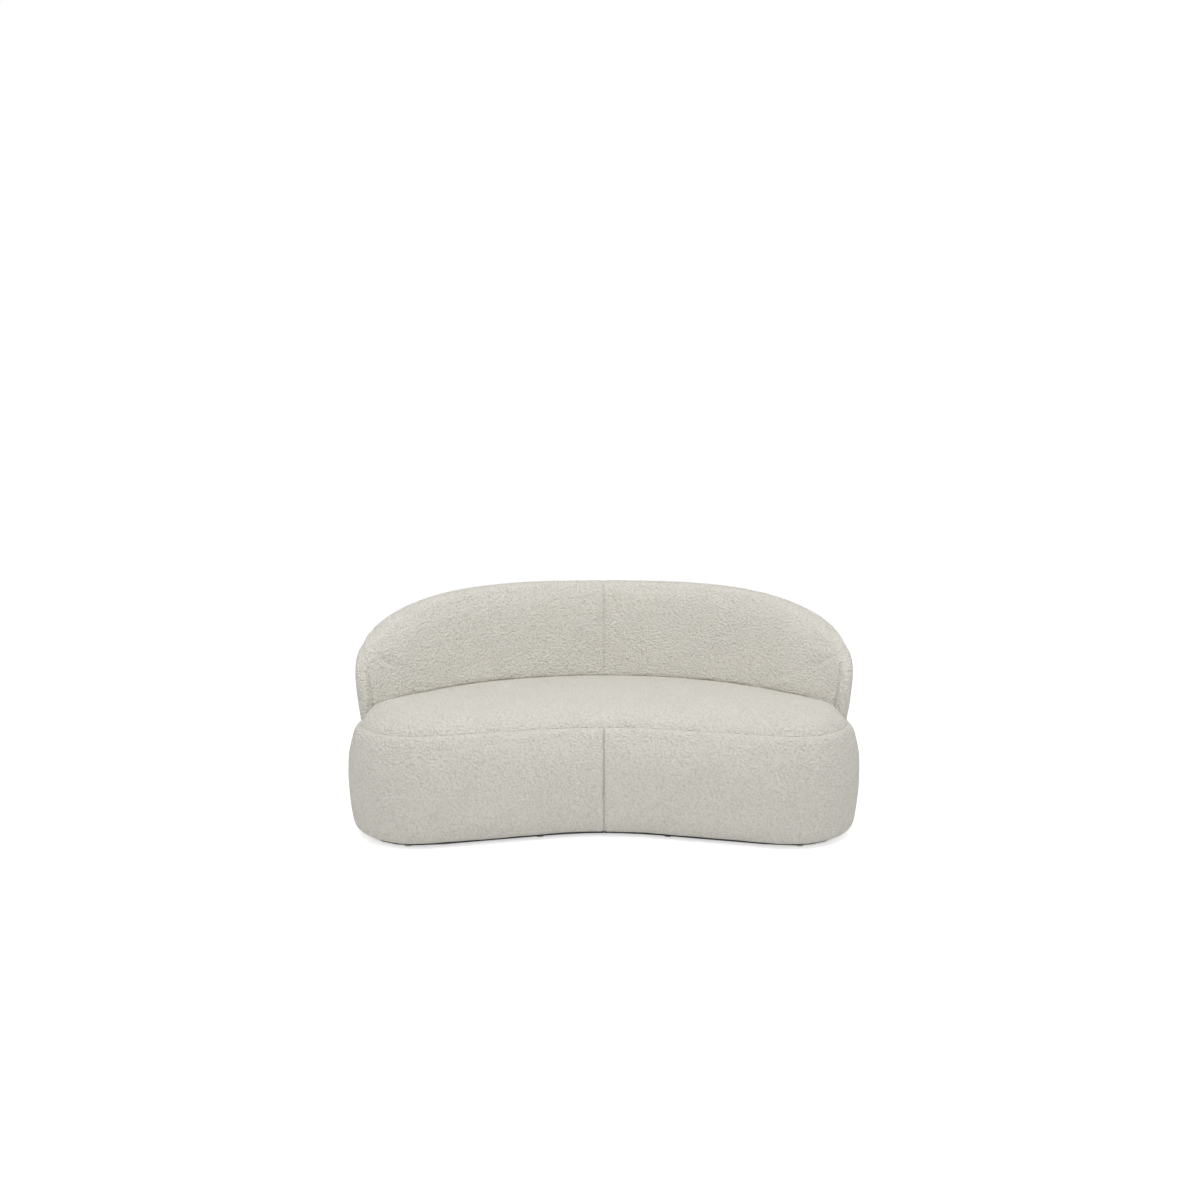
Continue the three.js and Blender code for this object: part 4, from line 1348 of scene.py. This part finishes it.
Painted = tuple[bpy.types.NodeSocket, bpy.types.Node]
"""The output that gives a surface its colour, and the node whose first output is its height."""


def linear(colour: str) -> tuple[float, float, float, float]:
    """Turns an sRGB hex colour into linear light.

    Args:
        colour: Six hex digits after a hash.

    Returns:
        Red, green, blue and full opacity.
    """
    values = [int(colour[k:k + 2], 16) / 255.0 for k in (1, 3, 5)]
    red, green, blue = (v / 12.92 if v <= 0.04045 else ((v + 0.055) / 1.055) ** 2.4 for v in values)
    return red, green, blue, 1.0


def per_metre(millimetres: float) -> float:
    """Scale of a pattern whose repeat is that many millimetres."""
    return 1000.0 / millimetres


def add_node(tree: bpy.types.NodeTree, kind: str, inputs: dict[Any, Any] | None = None,
             **settings: Any) -> bpy.types.Node:
    """Adds a node, sets it up, and fills or links its inputs.

    Args:
        tree: Tree that it joins.
        kind: Kind of the node, without the words that all kinds begin with.
        inputs: Input name or number to a value, to the output that feeds it, or to a node, whose first output
            then feeds it.
        **settings: Attributes of the node.

    Returns:
        The node.
    """
    made = tree.nodes.new(f"ShaderNode{kind}")
    for name, value in settings.items():
        setattr(made, name, value)
    for name, value in (inputs or {}).items():
        feed = value.outputs[0] if isinstance(value, bpy.types.Node) else value
        if isinstance(feed, bpy.types.NodeSocket):
            tree.links.new(feed, made.inputs[name])
        else:
            made.inputs[name].default_value = feed
    return made


def seen_rays(add: Adder) -> bpy.types.Node:
    """Tells the rays that look at a surface from the rays that light others.

    Args:
        add: Adds a node to the tree.

    Returns:
        Node that gives one for rays from the camera, in gloss and through glass, and nothing for the rest.
    """
    rays = add("LightPath").outputs
    seen = add("Math", {0: rays["Is Camera Ray"], 1: rays["Is Glossy Ray"]}, operation="MAXIMUM")
    return add("Math", {0: seen, 1: rays["Is Transmission Ray"]}, operation="MAXIMUM")


@dataclass(frozen=True)
class Finish:
    """A material with its plain surface values.

    Attributes:
        name: Name of the material.
        roughness: Roughness of the surface.
        relief: Strength of the relief, up to 1.
        depth: Height of the relief in metres.
        ior: Index of refraction.
        metallic: 1 for bare metal.
        sheen: Weight of the soft light at grazing angles.
    """

    name: str
    roughness: float
    relief: float
    depth: float
    ior: float = 1.5
    metallic: float = 0.0
    sheen: float = 0.0

    def paint(self, add: Adder, place: bpy.types.NodeSocket) -> Painted:
        """Gives the colour and the relief of the surface; each finish has its own.

        Args:
            add: Adds a node to the material.
            place: Object coordinates.

        Returns:
            Output of the colour, and node of the height.
        """
        raise NotImplementedError

    def build(self) -> bpy.types.Material:
        """Makes the material.

        Returns:
            The material, with the finish's name.
        """
        material = bpy.data.materials.new(self.name)
        material.use_nodes = True
        tree = material.node_tree
        tree.nodes.clear()
        add = partial(add_node, tree)
        colour, height = self.paint(add, add("TexCoord").outputs["Object"])
        bump = add("Bump", {"Height": height, "Strength": self.relief, "Distance": self.depth})
        surface = add("BsdfPrincipled", {
            "Base Color": colour, "Normal": bump, "Roughness": self.roughness, "IOR": self.ior,
            "Metallic": self.metallic, "Sheen Weight": self.sheen, "Sheen Roughness": 0.5,
        })
        add("OutputMaterial", {"Surface": surface})
        return material


@dataclass(frozen=True)
class BoucleCloth(Finish):
    """Wool-blend boucle, woven with a looped yarn: small curled knots, with painted shade darkening the hollows
    between them.

    The real loops are 3 to 5 mm across. They are drawn 7.5 mm apart, as coarse as they need to be to show.

    Attributes:
        yarn: Colour of the loops.
        hollow: Darker colour between the loops: painted shade in the hollows.
        painted_shade_heights: Heights at which the colour is all hollow and all yarn.
        drift_mm: Size of the waves in the rows of loops.
        drift: How far the rows wander, in metres.
        loop_mm: Distance from loop to loop.
        fall: How far a loop falls towards its rim.
        curl_mm: Distance between the finer curls.
        fluff_mm: Size of the loose fibres.
        shares: What the loops, the curls and the fibres add to the height.
        lot_mm: Size of the faint patches of another shade.
        lot_noise: Noise at which a patch has its least and its most shade.
        lots: Least and most shade of those patches.
        singles: Least and most shade of a single loop.
    """

    yarn: str = "#E1DED6"
    hollow: str = "#D1CDC3"
    painted_shade_heights: tuple[float, float] = (0.18, 0.62)
    drift_mm: float = 14.0
    drift: float = 0.006
    loop_mm: float = 7.5
    fall: float = 1.1
    curl_mm: float = 3.6
    fluff_mm: float = 2.4
    shares: tuple[float, float, float] = (0.62, 0.26, 0.12)
    lot_mm: float = 120.0
    lot_noise: tuple[float, float] = (0.3, 0.7)
    lots: tuple[float, float] = (0.985, 1.01)
    singles: tuple[float, float] = (0.98, 1.015)

    def paint(self, add: Adder, place: bpy.types.NodeSocket) -> Painted:
        """Bends the place a little, rounds a cell pattern into knots, and lays finer curls over them.

        Args:
            add: Adds a node to the material.
            place: Object coordinates.

        Returns:
            Output of the colour, and node of the height.
        """
        waves_on = add("TexNoise", {"Vector": place, "Scale": per_metre(self.drift_mm), "Detail": 2.0})
        shift = add("VectorMath", {0: waves_on.outputs["Color"], 1: (0.5, 0.5, 0.5)}, operation="SUBTRACT")
        shift = add("VectorMath", {0: shift, "Scale": self.drift}, operation="SCALE")
        bent = add("VectorMath", {0: place, 1: shift}, operation="ADD")
        loops = add("TexVoronoi", {"Vector": bent, "Scale": per_metre(self.loop_mm)})
        curls = add("TexVoronoi", {"Vector": bent, "Scale": per_metre(self.curl_mm)})
        fluff = add("TexNoise", {"Vector": place, "Scale": per_metre(self.fluff_mm), "Detail": 3.0})
        knot = add("Math", {0: loops, 1: -self.fall, 2: 1.0}, operation="MULTIPLY_ADD")
        curl = add("Math", {0: 1.0, 1: curls}, operation="SUBTRACT")
        height: Any = 0.0
        for part, share in zip((knot, curl, fluff), self.shares):
            height = add("Math", {0: part, 1: share, 2: height}, operation="MULTIPLY_ADD")
        # Painted shade: the lower the height, the more of the darker hollow colour, standing in for the shade that
        # falls between the loops.
        share = add("MapRange", {0: height, **dict(enumerate(self.painted_shade_heights, 1))})
        colour = add("Mix", {0: share, 6: linear(self.hollow), 7: linear(self.yarn)}, data_type="RGBA")
        lots = add("TexNoise", {"Vector": place, "Scale": per_metre(self.lot_mm), "Detail": 2.0})
        tone = add("MapRange", {0: lots, **dict(enumerate(self.lot_noise + self.lots, 1))})
        single = add("SeparateColor", {0: loops.outputs["Color"]})
        each = add("MapRange", {0: single, **dict(enumerate(self.singles, 3))})
        tint = add("Math", {0: tone, 1: each}, operation="MULTIPLY")
        grey = add("CombineColor", {0: tint, 1: tint, 2: tint})
        shaded = add("Mix", {0: 1.0, 6: colour.outputs[2], 7: grey}, data_type="RGBA", blend_type="MULTIPLY")
        return shaded.outputs[2], height


@dataclass(frozen=True)
class BirchPlywood(Finish):
    """Raw birch plywood: pale rotary-cut faces with a wide figure, and thin darker plies on the edges.

    Attributes:
        early: Colour of the early wood.
        late: Colour of the late wood.
        stretch: How many times finer the figure is across the grain, by axis.
        figure_mm: Size of the figure along the grain.
        pore_mm: Size of the pores along the grain.
        ply_mm: Thickness of a ply.
        ply_share: How much darker each second ply is.
    """

    early: str = "#DDBE8E"
    late: str = "#C29B67"
    stretch: tuple[float, float, float] = (1.0, 9.0, 9.0)
    figure_mm: float = 260.0
    pore_mm: float = 24.0
    ply_mm: float = 3.0
    ply_share: float = 0.12

    def paint(self, add: Adder, place: bpy.types.NodeSocket) -> Painted:
        """Stretches noise along X for the figure and lays a sine of the height over it for the plies.

        Args:
            add: Adds a node to the material.
            place: Object coordinates.

        Returns:
            Output of the colour, and node of the height.
        """
        long = add("Mapping", {"Vector": place, "Scale": self.stretch})
        figure = add("TexNoise", {"Vector": long, "Scale": per_metre(self.figure_mm), "Detail": 6.0})
        height = add("SeparateXYZ", {0: place}).outputs[2]
        angle = add("Math", {0: height, 1: math.pi * per_metre(self.ply_mm)}, operation="MULTIPLY")
        ply = add("Math", {0: angle}, operation="SINE")
        share = add("Math", {0: ply, 1: self.ply_share, 2: figure}, operation="MULTIPLY_ADD")
        colour = add("Mix", {0: share, 6: linear(self.early), 7: linear(self.late)}, data_type="RGBA")
        return colour.outputs[2], add("TexNoise", {"Vector": long, "Scale": per_metre(self.pore_mm), "Detail": 3.0})


@dataclass(frozen=True, kw_only=True)
class Mottled(Finish):
    """One colour, which turns into a second where a noise is high, and a fine grain.

    Attributes:
        body: Colour of the body.
        spot: Colour of the spots.
        spot_mm: Size of the spots.
        spot_detail: How ragged they are, in octaves of the noise.
        spread: Noise from which the spots show, and at which they are full.
        grain_mm: Size of the grain.
        grain_detail: How ragged that is.
        grain_kind: Pattern of the grain.
    """

    body: str
    spot: str
    spot_mm: float
    spot_detail: float = 5.0
    spread: tuple[float, float] = (0.0, 1.0)
    grain_mm: float
    grain_detail: float = 1.0
    grain_kind: str = "TexNoise"

    def paint(self, add: Adder, place: bpy.types.NodeSocket) -> Painted:
        """Mixes the two colours by noise and grains the surface with a finer pattern.

        Args:
            add: Adds a node to the material.
            place: Object coordinates.

        Returns:
            Output of the colour, and node of the height.
        """
        spots = add("TexNoise", {"Vector": place, "Scale": per_metre(self.spot_mm), "Detail": self.spot_detail})
        share = add("MapRange", {0: spots, **dict(enumerate(self.spread, 1))})
        colour = add("Mix", {0: share, 6: linear(self.body), 7: linear(self.spot)}, data_type="RGBA")
        return colour.outputs[2], add(self.grain_kind, {
            "Vector": place, "Scale": per_metre(self.grain_mm), "Detail": self.grain_detail,
        })


@dataclass(frozen=True)
class OpenCellFoam(Mottled):
    """Cut polyurethane foam: pale yellow, with fine open cells and a slight yellowing in patches."""

    body: str = "#EDE6C9"
    spot: str = "#DCCF9E"
    spot_mm: float = 150.0
    spot_detail: float = 4.0
    grain_mm: float = 2.5
    grain_detail: float = 0.0
    grain_kind: str = "TexVoronoi"


@dataclass(frozen=True)
class SatinBlackPaint(Mottled):
    """Black satin paint sprayed on board: an even film with a faint orange peel and dusty spots."""

    body: str = "#1B1A19"
    spot: str = "#2C2A28"
    spot_mm: float = 40.0
    spread: tuple[float, float] = (0.5, 0.8)
    grain_mm: float = 3.0


@dataclass(frozen=True)
class MouldedNylon(Mottled):
    """Natural nylon, injection moulded with a fine spark-eroded grain: milky and dull, with dirty scuffs.

    The photograph shows no dark foot under the black line, so the glides are drawn in the undyed plastic.
    """

    body: str = "#DCD9D0"
    spot: str = "#BDB9AE"
    spot_mm: float = 9.0
    spot_detail: float = 6.0
    spread: tuple[float, float] = (0.55, 0.75)
    grain_mm: float = 0.8


@dataclass(frozen=True)
class ZincPlatedSteel(Mottled):
    """Cold-headed steel, bright zinc plated: bluish grey, a little cloudy, with fine marks of the heading."""

    body: str = "#C4C8CC"
    spot: str = "#A4A9AF"
    spot_mm: float = 6.0
    spot_detail: float = 4.0
    grain_mm: float = 0.7
    grain_detail: float = 2.0


@dataclass(frozen=True)
class ElasticWebbing(Finish):
    """Woven elastic webbing: dark ribs along the strap, crossed by a coarser weft.

    Attributes:
        rib: Colour of the ribs.
        gap: Colour between them.
        rib_mm: Distance from rib to rib.
        weft_mm: Distance from weft to weft.
    """

    rib: str = "#34343A"
    gap: str = "#19191C"
    rib_mm: float = 2.5
    weft_mm: float = 3.8

    def paint(self, add: Adder, place: bpy.types.NodeSocket) -> Painted:
        """Multiplies two sets of bands, one along X for the ribs and one along Y for the weft.

        The band pattern turns by 20 times its scale, in radians per metre.

        Args:
            add: Adds a node to the material.
            place: Object coordinates.

        Returns:
            Output of the colour, and node of the height.
        """
        turns = 2.0 * math.pi / 20.0
        ribs = add("TexWave", {"Vector": place, "Scale": per_metre(self.rib_mm) * turns})
        weft = add("TexWave", {"Vector": place, "Scale": per_metre(self.weft_mm) * turns}, bands_direction="Y")
        height = add("Math", {0: ribs.outputs["Fac"], 1: weft.outputs["Fac"]}, operation="MULTIPLY")
        colour = add("Mix", {0: height, 6: linear(self.gap), 7: linear(self.rib)}, data_type="RGBA")
        return colour.outputs[2], height


@dataclass(frozen=True)
class BlackCambric(Finish):
    """Spun-bonded black cloth, pressed in small dots: a matt sheet with a regular pitting.

    Attributes:
        fibre: Colour of the fibres.
        dot: Colour of the pressed dots.
        dot_mm: Distance from dot to dot.
        scatter: How far the dots stray from their rows, up to 1.
        fibre_mm: Size of the fibres' tangle.
    """

    fibre: str = "#1C1C1E"
    dot: str = "#101012"
    dot_mm: float = 2.0
    scatter: float = 0.1
    fibre_mm: float = 5.0

    def paint(self, add: Adder, place: bpy.types.NodeSocket) -> Painted:
        """Sets pressed dots among random fibres.

        Args:
            add: Adds a node to the material.
            place: Object coordinates.

        Returns:
            Output of the colour, and node of the height.
        """
        dots = add("TexVoronoi", {"Vector": place, "Scale": per_metre(self.dot_mm), "Randomness": self.scatter})
        fibres = add("TexNoise", {"Vector": place, "Scale": per_metre(self.fibre_mm), "Detail": 6.0})
        share = add("Math", {0: dots, 1: fibres}, operation="MULTIPLY")
        colour = add("Mix", {0: share, 6: linear(self.dot), 7: linear(self.fibre)}, data_type="RGBA")
        return colour.outputs[2], share


@dataclass(frozen=True)
class Finishes:
    """The sofa's finishes. The name of each is the record's material slot that it is for."""

    boucle: Finish = BoucleCloth("wool_boucle_woven", roughness=0.95, relief=1.0, depth=0.0085, ior=1.45, sheen=0.12)
    foam: Finish = OpenCellFoam("polyurethane_foam_cut", roughness=0.95, relief=0.5, depth=0.001, ior=1.45)
    plywood: Finish = BirchPlywood("birch_plywood_raw", roughness=0.65, relief=0.25, depth=0.0005)
    black_board: Finish = SatinBlackPaint("black_paint_sprayed", roughness=0.42, relief=0.2, depth=0.0003)
    nylon: Finish = MouldedNylon("nylon_moulded", roughness=0.5, relief=0.3, depth=0.0002, ior=1.53)
    webbing: Finish = ElasticWebbing("elastic_webbing_woven", roughness=0.85, relief=0.6, depth=0.0006)
    cambric: Finish = BlackCambric("cambric_spun_bonded", roughness=0.95, relief=0.4, depth=0.0003)
    zinc_steel: Finish = ZincPlatedSteel("steel_zinc_plated", roughness=0.35, relief=0.2, depth=0.0002, metallic=1.0)

    def build(self) -> dict[str, bpy.types.Material]:
        """Makes every material, keyed by its slot."""
        return {slot: finish.build() for slot, finish in vars(self).items()}


# The inner pieces and the studio


@dataclass(frozen=True)
class FoamPads:
    """The foam under the covers, a little smaller than the CAD's so that it stays clear of the rounded cloth.

    Attributes:
        nodes: CAD nodes of the foam.
        shrink: How far the foam's surface lies inside the CAD's.
    """

    nodes: tuple[str, ...] = ("seat_border_foam", "seat_cushion_foam", "back_front_foam", "back_rear_foam")
    shrink: float = 0.0042

    def finish(self, material: bpy.types.Material) -> None:
        """Makes each pad: the CAD solid's corners, merged to a micrometre, and moved in along their faces' mean.

        Args:
            material: The foam.
        """
        for node in self.nodes:
            source = frame["nodes"][node].data
            points = mesh_points(source)
            corners = np.empty(len(source.loops), dtype=np.int32)
            source.loops.foreach_get("vertex_index", corners)
            places, merged = np.unique(np.round(points, 6), axis=0, return_inverse=True)
            faces = merged.ravel()[corners].reshape(-1, 3)
            cells = np.concatenate([faces, faces[:, 2:]], axis=1)
            name = node.replace("_foam", "_pad")
            moved = places - self.shrink * corner_normals(places, faces)
            piece = bpy.data.objects.new(name, mesh_from(name, moved, cells))
            bpy.context.scene.collection.objects.link(piece)
            piece.data.shade_flat()
            piece.data.materials.append(material)
            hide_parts(node)
            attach(piece, "root")
            log.info("%s: %d points", name, len(moved))


@dataclass(frozen=True)
class InnerPieces:
    """The timber, straps, plinth, dust cover, feet and bolts, which keep their CAD shapes."""

    def dress(self, materials: dict[str, bpy.types.Material]) -> None:
        """Gives each CAD node the material of its slot.

        Args:
            materials: Materials by slot.
        """
        for part in frame["record"]["subparts"]:
            mesh = frame["nodes"][part["node"]].data
            mesh.materials.clear()
            mesh.materials.append(materials[part["material_slot"]])


@dataclass(frozen=True)
class Lamp:
    """A soft rectangular lamp.

    Attributes:
        name: Name of the lamp.
        place: Where it hangs.
        size: Width and height of its face.
        power: Power in watts.
        aim: Point that it faces.
    """

    name: str
    place: tuple[float, float, float]
    size: tuple[float, float]
    power: float
    aim: tuple[float, float, float] = (0.0, 0.0, 0.4)

    def hang(self) -> None:
        """Makes the lamp and turns it towards its aim."""
        lamp = bpy.data.lights.new(self.name, "AREA")
        lamp.shape = "RECTANGLE"
        lamp.size, lamp.size_y = self.size
        lamp.energy = self.power
        holder = bpy.data.objects.new(self.name, lamp)
        holder.location = self.place
        towards = np.array(self.aim) - np.array(self.place)
        flat = math.hypot(towards[0], towards[1])
        holder.rotation_euler = (math.atan2(flat, -towards[2]), 0.0, math.atan2(-towards[0], towards[1]))
        bpy.context.scene.collection.objects.link(holder)


@dataclass(frozen=True)
class Studio:
    """Pale floor, soft light and the photograph's camera.

    Attributes:
        camera_back: Distance from the lobes' front to the camera.
        camera_height: Height of the camera.
        camera_pitch: Angle that the camera looks down.
        sensor: Width of the camera's sensor in millimetres.
        focal_share: Focal length over the frame's width.
        middle_share: How far right of the frame's middle the sofa's middle plane lies, over its width.
        sky: Strength of the even light from all round.
        lamps: The wide lamp overhead, a narrower one over the front, which lights the back more than the block,
            one behind the camera, and one on each side.
        white: Colour of the light and of the background.
        floor: Colour of the floor.
        floor_reach: Distance from the middle to each edge of the floor.
        floor_glow: What brings the floor up to white where it is looked at.
    """

    camera_back: float = 3.429
    camera_height: float = 1.3076
    camera_pitch: float = math.radians(7.8876)
    sensor: float = 36.0
    focal_share: float = 1100.0 / 1200.0
    middle_share: float = 3.9 / 1200.0
    sky: float = 0.455
    lamps: tuple[Lamp, ...] = (
        Lamp("over_lamp", (0.0, -0.6, 3.2), (3.6, 3.0), 25.5),
        Lamp("key_lamp", (0.0, -1.3, 2.55), (2.8, 0.9), 29.0, aim=(0.0, 0.2, 0.5)),
        Lamp("front_lamp", (0.0, -4.0, 1.8), (3.0, 2.0), 7.5),
        Lamp("side_lamp_right", (3.4, -0.9, 1.4), (2.0, 2.0), 11.0),
        Lamp("side_lamp_left", (-3.4, -0.9, 1.4), (2.0, 2.0), 11.0),
    )
    white: str = "#FFFFFF"
    floor: str = "#FAFAFA"
    floor_reach: float = 60.0
    floor_glow: float = 0.57

    def build(self) -> None:
        """Sets up the camera, the world, the lamps and the floor."""
        self.set_camera()
        self.set_world()
        for lamp in self.lamps:
            lamp.hang()
        self.add_floor()

    def set_camera(self) -> None:
        """Places the camera where the photograph was taken from."""
        camera = bpy.data.cameras.new("camera")
        camera.sensor_width = self.sensor
        camera.lens = self.sensor * self.focal_share
        camera.shift_x = -self.middle_share
        camera.dof.use_dof = False
        holder = bpy.data.objects.new("camera", camera)
        holder.location = (0.0, CAD_BOX[0][1] - self.camera_back, self.camera_height)
        holder.rotation_euler = (math.pi / 2.0 - self.camera_pitch, 0.0, 0.0)
        bpy.context.scene.collection.objects.link(holder)
        bpy.context.scene.camera = holder

    def set_world(self) -> None:
        """Lights the scene evenly, and shows plain white to the camera, to gloss and through glass."""
        world = bpy.data.worlds.new("studio")
        world.use_nodes = True
        world.node_tree.nodes.clear()
        add = partial(add_node, world.node_tree)
        light = add("Background", {"Color": linear(self.white), "Strength": self.sky})
        plain = add("Background", {"Color": linear(self.white), "Strength": 1.0})
        add("OutputWorld", {"Surface": add("MixShader", {0: seen_rays(add), 1: light, 2: plain})})
        bpy.context.scene.world = world

    def add_floor(self) -> None:
        """Lays a wide pale floor that keeps the sofa's shadow and fades into the white behind."""
        corners = np.array([[-1.0, -1.0, 0.0], [1.0, -1.0, 0.0], [1.0, 1.0, 0.0], [-1.0, 1.0, 0.0]])
        points = self.floor_reach * corners
        floor = bpy.data.objects.new("floor", mesh_from("floor", points, np.array([[0, 1, 2, 3]])))
        material = bpy.data.materials.new("white_floor")
        material.use_nodes = True
        material.node_tree.nodes.clear()
        add = partial(add_node, material.node_tree)
        plain = add("BsdfDiffuse", {"Color": linear(self.floor)})
        glow = add("Emission", {"Color": linear(self.white), "Strength": self.floor_glow})
        both = add("AddShader", {0: plain, 1: glow})
        add("OutputMaterial", {"Surface": add("MixShader", {0: seen_rays(add), 1: plain, 2: both})})
        floor.data.materials.append(material)
        bpy.context.scene.collection.objects.link(floor)


def main() -> None:
    """Builds the sofa's covers, dresses the frame and sets up the studio."""
    logging.basicConfig(level=logging.INFO, format="%(name)s: %(message)s")
    bpy.context.scene.view_settings.view_transform = "Standard"
    materials = Finishes().build()
    InnerPieces().dress(materials)
    FoamPads().finish(materials["foam"])
    back, cloth = BackUpholstery(), Cloth()
    for cover in back.seat.covers(back.tuck) + back.covers():
        cover.finish(cloth, materials["boucle"])
    Studio().build()


if __name__ == "__main__":
    main()
